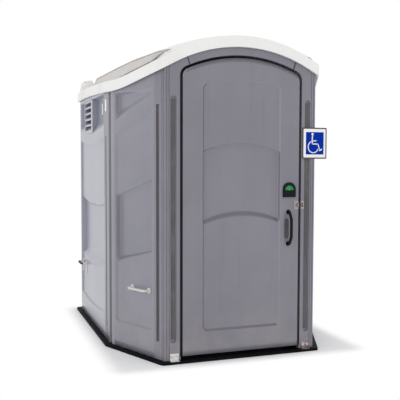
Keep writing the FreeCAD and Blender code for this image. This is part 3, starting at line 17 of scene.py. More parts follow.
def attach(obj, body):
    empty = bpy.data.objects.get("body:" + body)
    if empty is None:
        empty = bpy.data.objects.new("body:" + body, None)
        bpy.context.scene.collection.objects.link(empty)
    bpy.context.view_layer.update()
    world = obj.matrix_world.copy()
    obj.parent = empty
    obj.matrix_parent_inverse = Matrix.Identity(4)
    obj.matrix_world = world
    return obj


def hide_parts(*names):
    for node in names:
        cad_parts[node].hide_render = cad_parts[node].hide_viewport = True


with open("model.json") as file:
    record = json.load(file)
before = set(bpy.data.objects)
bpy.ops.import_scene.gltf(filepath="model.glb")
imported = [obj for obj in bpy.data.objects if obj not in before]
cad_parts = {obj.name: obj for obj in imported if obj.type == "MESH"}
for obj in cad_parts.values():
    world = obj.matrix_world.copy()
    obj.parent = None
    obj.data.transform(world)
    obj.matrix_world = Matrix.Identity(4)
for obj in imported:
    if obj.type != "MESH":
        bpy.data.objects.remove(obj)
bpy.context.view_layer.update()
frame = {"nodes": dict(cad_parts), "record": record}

nodes = frame["nodes"]

# %% [markdown]
# The photograph was taken from the left of the door, at the height of a standing person's chest.
# The straight edges of base, posts and door gave the camera's place, turn and focal length. A
# camera that is placed first shows at once whether a later piece sits where it should.

# %% Camera
FRAME_PIXELS = 400
SENSOR_WIDE = 36.0
FOCAL_PIXELS = 677.62
CAMERA_PLACE = (-1.893, -5.468, 1.422)
CAMERA_YAW, CAMERA_PITCH, CAMERA_ROLL = 19.261, 3.294, 0.125

lens = bpy.data.cameras.new("photo_camera")
lens.sensor_width = SENSOR_WIDE
lens.lens = FOCAL_PIXELS / FRAME_PIXELS * SENSOR_WIDE
camera = bpy.data.objects.new("photo_camera", lens)
turn = Matrix.Rotation(math.radians(-CAMERA_YAW), 4, "Z")
tip = Matrix.Rotation(math.radians(90 - CAMERA_PITCH), 4, "X")
roll = Matrix.Rotation(math.radians(CAMERA_ROLL), 4, "Z")
camera.matrix_world = Matrix.Translation(CAMERA_PLACE) @ turn @ tip @ roll
bpy.context.scene.collection.objects.link(camera)
bpy.context.scene.camera = camera
print("camera lens", round(lens.lens, 2), "mm")

# %% [markdown]
# Studio light is plain: a pale surround gives even light from all sides, and one wide lamp shapes
# the walls. The photograph's side wall is clearly brighter than its front, so the lamp stands to the
# left, in front of the cabin. Rays that reach the surround from the camera, off metal or through
# glass find plain white there.

# %% World and lamp
WORLD_LIGHT, WORLD_TINT = 0.90, (0.985, 0.992, 1.0)
LAMP_PLACE, LAMP_TARGET = (-4.6, -5.6, 1.6), (0, -0.4, 1.2)
LAMP_WIDE, LAMP_POWER = 3.2, 24


def seen_rays(tree, *kinds):
    """Socket that holds 1 for rays straight from the camera and for the other kinds named."""
    path = tree.nodes.new("ShaderNodeLightPath")
    seen = path.outputs["Is Camera Ray"]
    for kind in kinds:
        either = tree.nodes.new("ShaderNodeMath")
        either.operation = "MAXIMUM"
        tree.links.new(seen, either.inputs[0])
        tree.links.new(path.outputs[kind], either.inputs[1])
        seen = either.outputs[0]
    return seen


def background(tree, colour, strength):
    """Background shader of one colour."""
    shader = tree.nodes.new("ShaderNodeBackground")
    shader.inputs["Color"].default_value = (*colour, 1)
    shader.inputs["Strength"].default_value = strength
    return shader.outputs[0]


bpy.context.scene.view_settings.view_transform = "Standard"
world = bpy.data.worlds.new("studio")
world.use_nodes = True
bpy.context.scene.world = world
tree = world.node_tree
tree.nodes.clear()
blend, surround = tree.nodes.new("ShaderNodeMixShader"), tree.nodes.new("ShaderNodeOutputWorld")
shaders = [background(tree, WORLD_TINT, WORLD_LIGHT), background(tree, (1, 1, 1), 1.0)]
seen = seen_rays(tree, "Is Glossy Ray", "Is Transmission Ray")
for socket, value in zip(blend.inputs, [seen] + shaders):
    tree.links.new(value, socket)
tree.links.new(blend.outputs[0], surround.inputs["Surface"])

light = bpy.data.lights.new("lamp_front_left", "AREA")
light.shape, light.size, light.energy = "SQUARE", LAMP_WIDE, LAMP_POWER
lamp = bpy.data.objects.new("lamp_front_left", light)
aim = (Vector(LAMP_TARGET) - Vector(LAMP_PLACE)).to_track_quat("-Z", "Y")
lamp.matrix_world = Matrix.Translation(LAMP_PLACE) @ aim.to_matrix().to_4x4()
bpy.context.scene.collection.objects.link(lamp)
print("world light", WORLD_LIGHT, "lamp", LAMP_POWER, "W")

# %% [markdown]
# Every finish is worked out from nodes. Written as plain sums, a pattern is easier to read than a
# list of links, so one small class wraps a socket and turns the usual signs into Math nodes.

# %% Shader sums
class Socket:
    """A node socket that can be added, subtracted and multiplied like a number."""

    def __init__(self, paint, socket):
        self.paint, self.socket = paint, socket

    def maths(self, operation, *others):
        return self.paint.node("ShaderNodeMath", {"operation": operation}, [self, *others])

    def __add__(self, other):
        return self.maths("ADD", other)

    def __sub__(self, other):
        return self.maths("SUBTRACT", other)

    def __rsub__(self, other):
        return self.paint.node("ShaderNodeMath", {"operation": "SUBTRACT"}, [other, self])

    def __mul__(self, other):
        return self.maths("MULTIPLY", other)

    def __pow__(self, other):
        return self.maths("POWER", other)

    __radd__ = __add__
    __rmul__ = __mul__

    def ramp(self, start, end):
        """0 below the start, 1 above the end and smooth between."""
        return self.paint.node("ShaderNodeMapRange", {"interpolation_type": "SMOOTHSTEP"},
                               {"Value": self, "From Min": start, "From Max": end})


class Paint:
    """A material under construction, with its shader and the piece's own coordinates."""

    def __init__(self, name):
        self.material = bpy.data.materials.new(name)
        self.material.use_nodes = True
        self.tree = self.material.node_tree
        self.shader = self.tree.nodes["Principled BSDF"]
        self.place = self.node("ShaderNodeTexCoord", {}, {}, "Object")
        self.x, self.y, self.z = self.parts(self.place)

    def parts(self, vector):
        """The x, y and z parts of a vector."""
        split = self.tree.nodes.new("ShaderNodeSeparateXYZ")
        self.tree.links.new(vector.socket, split.inputs[0])
        return [Socket(self, output) for output in split.outputs]

    def node(self, kind, settings, inputs, output=0):
        """Any node, from its type, its settings and what its sockets hold."""
        made = self.tree.nodes.new(kind)
        for key, value in settings.items():
            setattr(made, key, value)
        for key, value in inputs.items() if isinstance(inputs, dict) else enumerate(inputs):
            self.feed(made.inputs[key], value)
        return Socket(self, made.outputs[output])

    def feed(self, socket, value):
        """Link a socket to another one, or set what it holds."""
        if isinstance(value, Socket):
            self.tree.links.new(value.socket, socket)
        elif isinstance(value, tuple) and len(value) == 3 and len(socket.default_value) == 4:
            socket.default_value = (*value, 1)
        else:
            socket.default_value = value

    def noise(self, scale, detail=3.0, stretch=(1, 1, 1), roughness=0.55):
        """Cloudy noise in the piece's own coordinates, stretched along its axes."""
        mapped = self.node("ShaderNodeMapping", {}, {"Vector": self.place, "Scale": stretch})
        return self.node("ShaderNodeTexNoise", {},
                         {"Vector": mapped, "Scale": scale, "Detail": detail, "Roughness": roughness}, "Fac")

    def mix(self, amount, first, second):
        """A colour between two colours."""
        return self.node("ShaderNodeMix", {"data_type": "RGBA"}, {0: amount, 6: first, 7: second}, 2)

    def set(self, **inputs):
        """Set the shader's own sockets. An underscore in a name stands for a space."""
        for key, value in inputs.items():
            self.feed(self.shader.inputs[key.replace("_", " ")], value)
        return self.material

    def finish(self, tone, roughness, relief, depth, strength, **others):
        """The finished material: colour, roughness, a relief that stands out by a depth, and the rest."""
        bump = {"Height": relief, "Distance": depth, "Strength": strength}
        normal = self.node("ShaderNodeBump", {}, bump, "Normal")
        return self.set(Base_Color=tone, Roughness=roughness, Normal=normal, **others)


def shade(colour, factor):
    """A colour made darker or lighter by a factor."""
    return tuple(min(channel * factor, 1.0) for channel in colour)


print("shader helpers ready")

# %% [markdown]
# The walls are rotationally moulded or pressed plastic. Such a sheet has a fine pebbled grain, a slow change
# of tone across it, faint dust that gathers low down, and thin rain streaks. Each of these is one noise at
# its own scale, so the same recipe serves every grey piece. Light and shade are painted in on top of them:
# darker cloudy patches on ledge slopes that face up, a paler tone on slopes that face down, and slopes and
# sideways faces made darker or lighter by the way they turn.

# %% Grey plastic
STREAKS, LOW_DUST, DUST_TOP, DUST_TONE = 0.12, 0.35, 0.55, (0.36, 0.33, 0.30)


def moulded_plastic(name, colour, grain=0.00016, edges=0.0, ledge_shade=1.0, sides=0.0, ledge_from=(0.12, 0.62)):
    """Plastic with a pebbled grain, cloudy tone, rain streaks and dust near the ground.

    Ledge slopes that face up get painted shade in cloudy patches like dust, and undersides get a painted
    highlight. Edges and sides say how far the slopes beside a band, and the faces that look straight
    sideways, take painted shade and highlight as well: a band's slopes darker on one side and lighter on the
    other, sideways faces darker.
    """
    paint = Paint(name)
    across, through, upward = paint.parts(paint.node("ShaderNodeTexCoord", {}, {}, "Normal"))
    front, down = through * -1.0, upward * -1.0
    cloud = paint.noise(1.6, 4)
    streak = paint.noise(3.2, 4, (7, 7, 0.35), 0.6).ramp(0.52, 0.72)
    ledge = upward.ramp(*ledge_from) * (1.0 - upward.ramp(0.93, 0.99))
    slope = front.ramp(0.3, 0.5) * (1.0 - front.ramp(0.90, 0.985))
    dusty = (1 - paint.z.ramp(0.02, DUST_TOP)) * paint.noise(6, 5).ramp(0.35, 0.7)
    tone = paint.mix(cloud.ramp(0.3, 0.7), shade(colour, 0.93), shade(colour, 1.07))
    for amount, other in ((streak * STREAKS, shade(colour, 0.62)),
                          (dusty * LOW_DUST, DUST_TONE),
                          # Painted shade: ledge slopes that face up are darkened in cloudy patches like dust.
                          (ledge * (cloud * 0.3 + 0.35) * ledge_shade, shade(colour, 0.50)),
                          # Painted highlight: slopes that face down are lightened.
                          (down.ramp(0.12, 0.62) * 0.45, shade(colour, 1.45)),
                          # Painted shade on band slopes that face one way, painted highlight on those that
                          # face the other.
                          (slope * across.ramp(0.15, 0.35) * edges, shade(colour, 0.55)),
                          (slope * (across * -1.0).ramp(0.15, 0.35) * edges, shade(colour, 1.2)),
                          # Painted shade on faces that look straight sideways.
                          ((across * across).ramp(0.90, 0.98) * sides, shade(colour, 0.30))):
        tone = paint.mix(amount, tone, other)
    scuff = paint.noise(38, 3, (1, 1, 2.5), 0.65).ramp(0.6, 0.8)
    return paint.finish(tone, 0.30 + (scuff - 0.5) * 0.05 + cloud * 0.04, paint.noise(420, 2, (1, 1, 1), 0.5),
                        grain, 0.5, Specular_IOR_Level=0.5, Coat_Weight=0.28, Coat_Roughness=0.2)


# All walls are one grey plastic. The side grey, used on the side and rear walls, the rear posts and the vent
# hoods, is painted lighter and bluer as painted light from the lamp side. The front grey is painted darker as
# painted shade, and the corner grey lies between. The bend posts are painted lighter again.
SHADED_FRONT_GREY = (0.221, 0.213, 0.250)
HALF_LIT_CORNER_GREY = (0.262, 0.257, 0.302)
LIT_SIDE_GREY = (0.322, 0.328, 0.398)
# The door's up-facing ledge slopes get stronger painted shade, and its band slopes get painted shade on one
# side and painted highlight on the other.
door_plastic = moulded_plastic("door_plastic", SHADED_FRONT_GREY, edges=0.9, ledge_shade=1.6, ledge_from=(0.07, 0.42))
post_plastic = moulded_plastic("post_plastic", shade(SHADED_FRONT_GREY, 0.98))
corner_plastic = moulded_plastic("corner_plastic", HALF_LIT_CORNER_GREY, grain=0.0001, ledge_shade=0.6)
bend_plastic = moulded_plastic("bend_plastic", shade(HALF_LIT_CORNER_GREY, 1.18), sides=0.9)
side_plastic = moulded_plastic("side_plastic", LIT_SIDE_GREY, grain=0.0001)
print("grey plastics", 5)

# %% [markdown]
# The roof is milky white, and the side lights under its raised centre are thinner and let light through, so
# they look warmer and darker from outside. The strips in the walls have a faint painted glow that stands in
# for the daylight behind them. Dust settles on all of them.

# %% Roof plastics
def roof_plastic(name, colour, grime, roughness=0.42, glow=0.0):
    """White plastic with faint grime in clouds, a soft sheen and a painted glow of the given strength."""
    paint = Paint(name)
    patches = paint.noise(2.4, 5, (1, 1, 1), 0.6).ramp(0.45, 0.75)
    specks = paint.noise(60, 3).ramp(0.66, 0.8)
    tone = paint.mix(patches * 0.35 + specks * 0.12, colour, grime)
    return paint.finish(tone, roughness + patches * 0.15, paint.noise(300, 2), 0.0003, 0.4,
                        Specular_IOR_Level=0.45, Emission_Color=(1, 1, 1), Emission_Strength=glow)


roof_white = roof_plastic("roof_white", (0.91, 0.90, 0.885), (0.76, 0.73, 0.66))
# The strips get a faint painted glow in place of daylight from behind.
strip_white = roof_plastic("strip_white", (0.88, 0.80, 0.78), (0.70, 0.60, 0.55), 0.4, 0.20)
roof_light = roof_plastic("roof_light", (0.60, 0.565, 0.54), (0.47, 0.435, 0.40), 0.36)
print("roof plastics", 3)

# %% [markdown]
# Black trim, rubber, zinc plate, brushed steel and painted pieces finish the small parts. They
# share the same few ideas: one tone pattern, one wear pattern and a bump at the right scale.

# %% Small finishes
def dark_plastic(name, colour, roughness, grain=0.0003, wear=0.12, sheen=0.22):
    """Dark plastic with dust in clouds and worn, paler scuffs."""
    paint = Paint(name)
    scuffs = paint.noise(55, 4, (1, 1, 3), 0.7).ramp(0.62, 0.75)
    tone = paint.mix(paint.noise(5, 4).ramp(0.35, 0.75) * 0.5, colour, shade(colour, 1.7))
    tone = paint.mix(scuffs * wear, tone, (0.20, 0.19, 0.18))
    return paint.finish(tone, roughness + scuffs * 0.12, paint.noise(260, 2), grain, 0.5,
                        Specular_IOR_Level=sheen)


NOWHERE = (9.0, 10.0)


def zinc_plate(name, colour=(0.60, 0.61, 0.64), roughness=0.34, rusty=NOWHERE):
    """Zinc-plated steel with a spangle of slightly different greys and dull spots, rusty beyond an x."""
    paint = Paint(name)
    spangle = paint.node("ShaderNodeTexVoronoi", {}, {"Vector": paint.place, "Scale": 130.0}, "Distance")
    stain = paint.noise(30, 4).ramp(0.5, 0.8)
    rust = paint.x.ramp(*rusty) * (paint.noise(45, 3).ramp(0.3, 0.6) * 0.5 + 0.5)
    tone = paint.mix(spangle, shade(colour, 0.85), shade(colour, 1.15))
    tone = paint.mix(stain * 0.35, tone, (0.30, 0.26, 0.22))
    tone = paint.mix(rust * 0.95, tone, (0.22, 0.14, 0.125))
    return paint.finish(tone, roughness + stain * 0.25 + spangle * 0.08, paint.noise(500, 2), 0.0002, 0.4,
                        Metallic=1.0 - stain * 0.4)


def brushed_steel(name, along):
    """Stainless steel with fine brush lines that run along one axis."""
    paint = Paint(name)
    lines = paint.noise(900, 2, tuple(0.04 if axis == along else 1.0 for axis in "xyz"))
    smears = paint.noise(9, 3).ramp(0.45, 0.75)
    tone = paint.mix(lines, (0.52, 0.52, 0.53), (0.72, 0.72, 0.73))
    return paint.finish(tone, 0.24 + lines * 0.12 + smears * 0.1, lines, 0.0001, 0.4, Metallic=1.0)


def coloured_plastic(name, colour, roughness=0.38, grime=0.2, sheen=0.4):
    """Smooth coloured plastic with a little grime and fine scratches."""
    paint = Paint(name)
    patches = paint.noise(12, 4).ramp(0.45, 0.8)
    scratches = paint.noise(180, 2, (1, 0.1, 1), 0.7).ramp(0.68, 0.78)
    tone = paint.mix(patches * grime, colour, shade(colour, 0.62))
    return paint.finish(tone, roughness + scratches * 0.2 + patches * 0.08, paint.noise(220, 2), 0.0002, 0.35,
                        Specular_IOR_Level=sheen)


BLACK_FROM = 0.866


def handle_enamel(name, colour):
    """Pale enamel, rubbed darker in patches, and black on what stands furthest out at the sides."""
    paint = Paint(name)
    patches = paint.noise(14, 4).ramp(0.45, 0.8)
    outer_black = paint.x.maths("ABSOLUTE").ramp(BLACK_FROM, BLACK_FROM + 0.003)
    tone = paint.mix(patches * 0.3, colour, shade(colour, 0.55))
    tone = paint.mix(outer_black, tone, (0.012, 0.011, 0.012))
    return paint.finish(tone, 0.38 + outer_black * 0.2 + patches * 0.08, paint.noise(220, 2), 0.0002, 0.35,
                        Specular_IOR_Level=0.4)


base_black = dark_plastic("base_black", (0.004, 0.0045, 0.006), 0.62, 0.0003, 0.05, 0.06)
trim_black = dark_plastic("trim_black", (0.010, 0.010, 0.012), 0.6, 0.0003, 0.06, 0.10)
# Dark rubber for the door's lip and joints. Its dark is partly painted shadow of the gap and the joints.
gap_shadow_rubber = dark_plastic("gap_shadow_rubber", (0.030, 0.026, 0.030), 0.7, 0.0003, 0.06, 0.10)
handle_black = dark_plastic("handle_black", (0.003, 0.003, 0.004), 0.38, 0.0002, 0.04, 0.18)
seat_black = dark_plastic("seat_black", (0.014, 0.014, 0.016), 0.30, 0.0001, 0.05, 0.4)
tank_plastic = dark_plastic("tank_plastic", (0.045, 0.048, 0.055), 0.45)
# Brownish seal for the roof lights' edges; its tone is partly painted shadow of the edge.
light_edge_shadow_brown = dark_plastic("light_edge_shadow_brown", (0.46, 0.42, 0.40), 0.7, 0.0003, 0.1, 0.1)
# Dark grey of the strips in the posts' grooves; it is partly painted shade of the grooves.
slot_shade_grey = dark_plastic("slot_shade_grey", (0.125, 0.118, 0.118), 0.62, 0.0003, 0.06, 0.15)
# Dark backplate of the door pull; its dark partly stands in for the shade of a finger recess, as painted
# shade.
backplate_shade_grey = dark_plastic("backplate_shade_grey", (0.075, 0.075, 0.085), 0.5, 0.0002, 0.1, 0.2)
zinc = zinc_plate("zinc")
dull_zinc = zinc_plate("dull_zinc", (0.44, 0.40, 0.40), 0.48)
plate_zinc = zinc_plate("plate_zinc", (0.80, 0.78, 0.78), 0.45, (0.0, 0.35))
steel_deep = brushed_steel("steel_deep", "y")
steel_across = brushed_steel("steel_across", "x")
handle_white = handle_enamel("handle_white", (0.72, 0.69, 0.66))
case_white = coloured_plastic("case_white", (0.78, 0.78, 0.76), 0.32)
pipe_grey = coloured_plastic("pipe_grey", (0.42, 0.42, 0.43), 0.42)
sign_blue = coloured_plastic("sign_blue", (0.0, 0.030, 0.36), 0.34, 0.12, 0.05)
sign_white = coloured_plastic("sign_white", (0.93, 0.93, 0.92), 0.34, 0.04, 0.3)
sign_edge = coloured_plastic("sign_edge", (0.10, 0.085, 0.085), 0.45)
print("small finishes ready")

# %% [markdown]
# Paper is matt with faint fibres, the floor mat has ribs, and the door's indicator is a disc with a
# green half and a red half, so its colour follows the object's own coordinates.

# %% Paper, rubber mat and the turning disc
LATCH_Z = 1.207
RIB_PITCH = 0.012


def soft_paper():
    """Tissue with faint rings where its layers lie on each other, and a soft nap."""
    paint = Paint("soft_paper")
    layers = paint.noise(260, 2, (1, 0.2, 1))
    tone = paint.mix(layers, (0.74, 0.73, 0.70), (0.84, 0.83, 0.80))
    return paint.finish(tone, 0.9, layers, 0.0006, 0.6, Sheen_Weight=0.2)


def ribbed_rubber():
    """Black rubber mat with low ribs across the cabin and pale dust between them."""
    paint = Paint("ribbed_rubber")
    wave = (paint.y * (2 * math.pi / RIB_PITCH)).maths("SINE")
    rib = (wave * 0.5 + 0.5).ramp(0.25, 0.6)
    dust = paint.noise(7, 5).ramp(0.4, 0.75)
    tone = paint.mix((1 - rib) * dust * 0.5, (0.02, 0.02, 0.021), (0.16, 0.145, 0.13))
    return paint.finish(tone, 0.7 + dust * 0.1, rib, 0.0012, 0.8)


def two_colour_disc():
    """Disc that shows green in its upper half and red in its lower half."""
    paint = Paint("indicator_paint")
    upper = (paint.z - LATCH_Z).ramp(-0.0006, 0.0006)
    wear = paint.noise(70, 3).ramp(0.5, 0.8)
    tone = paint.mix(upper, (0.42, 0.012, 0.012), (0.0, 0.30, 0.085))
    tone = paint.mix(wear * 0.2, tone, (0.02, 0.10, 0.04))
    return paint.finish(tone, 0.36 + wear * 0.15, paint.noise(300, 2), 0.0001, 0.4)


paper_white, mat_rubber, indicator_paint = soft_paper(), ribbed_rubber(), two_colour_disc()
print("paper, mat and disc ready")

# %% [markdown]
# A CAD node whose shape is right only needs a finish. Its own object keeps its place, and its
# material slots get the new material.

# %% Finish the nodes that stay as they are
KEPT = {
    "floor_mat": mat_rubber, "holding_tank": tank_plastic, "bowl_collar": seat_black,
    "vent_pipe": pipe_grey, "seat_hinge_pin": steel_across, "grab_bar_side": steel_deep,
    "grab_bar_rear": steel_across, "paper_roll_front": paper_white, "paper_roll_rear": paper_white,
    "hinge_rod": trim_black, "indicator_disc": indicator_paint, "wall_rivets": corner_plastic,
    "anchor_bolts": zinc, "door_pull_outer": handle_black, "door_pull_inner": handle_black,
    "carry_handles": handle_white, "coat_hook": zinc, "sanitizer_lever": trim_black,
}
for label, material in KEPT.items():
    piece = nodes[label]
    piece.data.materials.clear()
    piece.data.materials.append(material)
print("kept nodes", len(KEPT))

# %% [markdown]
# Posts, the header and the metal pieces are stiff parts with small rounded edges. A copy of the
# node is merged into one skin, its flat faces are joined again, and a narrow bevel then catches the
# light along each edge as a moulded or folded edge does.

# %% Copies with rounded edges
BODY_OF = {node: body for body, members in frame["record"]["behaviour"]["bodies"].items() for node in members}
FLAT_ANGLE = math.radians(1.0)
SHARP_ANGLE = math.radians(32)
SAME_PLACE = 1e-5


def add_piece(piece, material, body="cabin"):
    """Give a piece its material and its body."""
    piece.data.materials.append(material)
    bpy.context.scene.collection.objects.link(piece)
    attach(piece, body)
    return piece


def put_in(piece, material, label):
    """Add a piece that stands for a node."""
    add_piece(piece, material, BODY_OF[label])
    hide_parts(label)
    return piece


def soften(piece, width, segments=2, angle=SHARP_ANGLE):
    """Round the sharp edges of a piece and shade it smoothly."""
    bevel = piece.modifiers.new("rounded_edges", "BEVEL")
    bevel.width, bevel.segments = width, segments
    bevel.limit_method, bevel.angle_limit = "ANGLE", angle
    piece.modifiers.new("even_shading", "WEIGHTED_NORMAL").keep_sharp = True
    piece.data.shade_smooth()
    return piece


def rounded_copy(label, material, width):
    """A merged copy of a CAD node with its edges rounded."""
    mesh = bpy.data.meshes.new(f"{label}_skin")
    shell = bmesh.new()
    shell.from_mesh(nodes[label].data)
    bmesh.ops.remove_doubles(shell, verts=shell.verts, dist=SAME_PLACE)
    bmesh.ops.dissolve_limit(shell, angle_limit=FLAT_ANGLE, verts=shell.verts, edges=shell.edges)
    shell.to_mesh(mesh)
    shell.free()
    return soften(put_in(bpy.data.objects.new(f"{label}_skin", mesh), material, label), width)


ROUNDED = [
    ("base_pan", base_black, 0.003), ("door_sill", zinc, 0.0008), ("anchor_plates", plate_zinc, 0.0008),
    ("front_post_left", post_plastic, 0.0025), ("front_post_right", post_plastic, 0.0025),
    ("door_header", post_plastic, 0.003), ("side_post_left", bend_plastic, 0.0035),
    ("side_post_right", bend_plastic, 0.0035), ("rear_post_left", side_plastic, 0.003),
    ("rear_post_right", side_plastic, 0.003), ("slot_strips", slot_shade_grey, 0.0008),
    ("roof_lugs", roof_white, 0.004), ("tank_deck", tank_plastic, 0.002),
    ("seat_hinge_blocks", seat_black, 0.002), ("toilet_seat", seat_black, 0.003),
    ("toilet_lid", seat_black, 0.003), ("paper_holder", case_white, 0.001),
    ("sanitizer_case", case_white, 0.004), ("door_stop_frame", trim_black, 0.001),
    ("hinge_leaf_frame", trim_black, 0.0006), ("hinge_leaf_door", trim_black, 0.0006),
    ("pull_backplate", backplate_shade_grey, 0.0008), ("indicator_housing", handle_black, 0.002),
    ("latch_bolt", zinc, 0.0008), ("latch_knob", handle_black, 0.002), ("door_strike", zinc, 0.0006),
    ("hasp_door", dull_zinc, 0.0006), ("hasp_jamb", dull_zinc, 0.0006), ("vent_cap", pipe_grey, 0.002),
    ("vent_hood_left", side_plastic, 0.003), ("vent_hood_right", side_plastic, 0.003),
    ("door_inner_skin", door_plastic, 0.002),
]
for label, material, width in ROUNDED:
    rounded_copy(label, material, width)
print("rounded copies", len(ROUNDED))

# %% [markdown]
# A formed wall sheet is one surface: a flat margin with bands pressed inwards. It is worked out as
# a grid. The rows follow the curved edges of the bands, so a curved ledge stays smooth, and the
# depth at each point comes from how far it lies inside each band.

# %% Grid surfaces
CROWDED = (-0.4, -0.12, 0.08, 0.35, 0.65, 0.92, 1.12, 1.4)


def surface(name, points, holes=()):
    """Mesh of a grid of points with rows and columns, without the faces that a hole's mask marks."""
    rows, columns = points.shape[:2]
    number = np.arange(rows * columns).reshape(rows, columns)
    faces = np.stack([number[:-1, :-1], number[:-1, 1:], number[1:, 1:], number[1:, :-1]], axis=-1)
    keep = np.ones(faces.shape[:2], bool)
    for hole in holes:
        keep &= ~hole
    faces = faces[keep]
    mesh = bpy.data.meshes.new(name)
    mesh.vertices.add(rows * columns)
    mesh.vertices.foreach_set("co", points.reshape(-1))
    mesh.loops.add(faces.size)
    mesh.loops.foreach_set("vertex_index", faces.reshape(-1))
    mesh.polygons.add(len(faces))
    mesh.polygons.foreach_set("loop_start", np.arange(len(faces)) * 4)
    mesh.update(calc_edges=True)
    mesh.validate()
    mesh.shade_smooth()
    return bpy.data.objects.new(name, mesh)


def bend_in(distance, width, softness):
    """Rise from 0 at an edge to 1 where its slope ends.

    It is the mean of two rounded corners: half of hypot(t, s) - hypot(t - 1, s) + 1, where t is
    the distance over the slope's width and s is the softness over that width.
    """
    t, s = distance / width, softness / width
    return 0.5 * (np.hypot(t, s) - np.hypot(t - 1, s) + 1)


def pressed(across, up, band, softness=0.0025):
    """Depth of one band: its full depth times the four rises at its left, right, low and high edges."""
    left, right, low, high, depth, side, low_slope, high_slope = band
    rise = bend_in(across - left, side, softness) * bend_in(right - across, side, softness)
    rise = rise * bend_in(up - low, low_slope, softness) * bend_in(high - up, high_slope, softness)
    return depth * rise


def closed(rows):
    """Grid of loops, with its first column repeated so that each loop closes."""
    grid = np.array(rows)
    return np.concatenate([grid, grid[:, :1]], axis=1)


def at_depth(plan, y):
    """Points drawn across and up, set at a depth."""
    return np.column_stack([plan[:, 0], np.full(len(plan), y), plan[:, 1]])


def spread(stops, step):
    """Values from the first stop to the last that include every stop, at most a step apart."""
    pieces = [np.linspace(a, b, max(int(math.ceil((b - a) / step)), 1), endpoint=False)
              for a, b in zip(stops, stops[1:])]
    return np.concatenate(pieces + [[stops[-1]]])


def near_edge(edge, slope):
    """Stops close together round a slope that starts at an edge."""
    return [edge + slope * t for t in CROWDED]


def row_stack(curves, step=0.05):
    """Rows between edge curves: each pair of curves is filled with evenly spaced rows."""
    rows = [curves[0]]
    for lower, upper in zip(curves, curves[1:]):
        upper = np.maximum(upper, rows[-1] + 1e-4)
        gaps = max(int(math.ceil(float(np.max(upper - rows[-1])) / step)), 1)
        share = np.linspace(0, 1, gaps + 1)[1:, None]
        rows.extend(list(rows[-1] + (upper - rows[-1]) * share))
    return np.array(rows)


print("surface helpers ready")

# %% [markdown]
# Each wall is easier to draw flat, along it and up it, and then to stand up in its place. Its
# bands have edges that are arcs of a wide circle, or straight and slanted.

# %% Wall frames and their curved edges
CORNER = np.array([-0.580, -0.975])
BEND = np.array([-0.843, -0.377])
REAR = np.array([-0.843, 0.970])
EDGE_RADIUS = 3.125
SHOULDER_EDGE, WAIST_TOP_EDGE = (1.655, 0.600), (1.060, 0.589)
WAIST_LOW_EDGE, FIELD_FOOT_EDGE = (0.485, 0.596, 2.400), (0.171, 0.524, 4.789)
RIB_TALL = 0.095
SHEET_THICK = 0.006
SHEET_FOOT = 0.018


def curve(lowest, where, radius=EDGE_RADIUS):
    """Height of a band's curved edge: its lowest value plus the distance squared over 2 radii."""
    return lambda along: lowest + (along - where) ** 2 / (2 * radius)


def straight(left, right, start, end):
    """Height of a straight edge that climbs from its start at the left to its end at the right."""
    return lambda u: start + (u - left) * (end - start) / (right - left)


def stand_up(origin, towards, across, inward, up):
    """Points of a wall drawn flat: along it from an origin, inwards from its face, and up."""
    along = (towards - origin) / np.linalg.norm(towards - origin)
    into = np.array([-along[1], along[0]])
    plan = origin + across[..., None] * along + inward[..., None] * into
    return np.concatenate([plan, up[..., None]], axis=-1)


def flipped(points):
    """The same surface on the other side of the cabin, with its faces still outwards."""
    return (points * np.array([-1, 1, 1]))[:, ::-1]


def walled(piece, thickness=SHEET_THICK):
    """Give a surface its sheet thickness, inwards from its face."""
    solid = piece.modifiers.new("sheet", "SOLIDIFY")
    solid.thickness = thickness
    solid.offset = -1
    return piece


print("corner at", CORNER, "bend at", BEND)

# %% [markdown]
# The slanted wall beside the door and the long side wall carry the same forms: a shallow field, a
# rib, a deep band from the shoulder up to the roof, and a deep waist band between two edges. A
# band's low slope may run to an inner edge of its own, and the shoulder band of the slanted wall
# gets shallower towards the door, so both change along the wall. The side wall also has an opening
# behind its vent hood and a slot for light.

# %% Bands over a grid
WALL_SHARES = (-0.25, -0.08, 0.08, 0.3, 0.6, 0.85, 1.0, 1.15, 1.4)


def heights(value, across):
    """Values over the grid's columns, from a number or from a curve."""
    return value(across) if callable(value) else np.full_like(across, value)


def laid_out(band, across):
    """A band with its edges and depth worked out over the columns.

    A low slope that is a curve is the slope's inner edge, and its width is what lies below that.
    """
    left, right, low, high, depth, side, low_slope, high_slope = band
    low, high, depth = [heights(value, across) for value in (low, high, depth)]
    if callable(low_slope):
        low_slope = low_slope(across) - low
    return left, right, low, high, depth, side, low_slope, high_slope


def edge_rows(limits, shares):
    """Rows close together on a band's low and high slopes, at shares of each slope's width."""
    low, high, low_slope, high_slope = limits[2], limits[3], limits[6], limits[7]
    return [low + low_slope * t for t in shares] + [high - high_slope * t for t in reversed(shares)]


print("rows on each slope", len(WALL_SHARES))

# %% [markdown]
# With its bands laid out, a sheet is a grid whose columns crowd at the bands' sides and whose rows
# follow their edges. Faces behind the vent hood and behind the slot for light are left out.

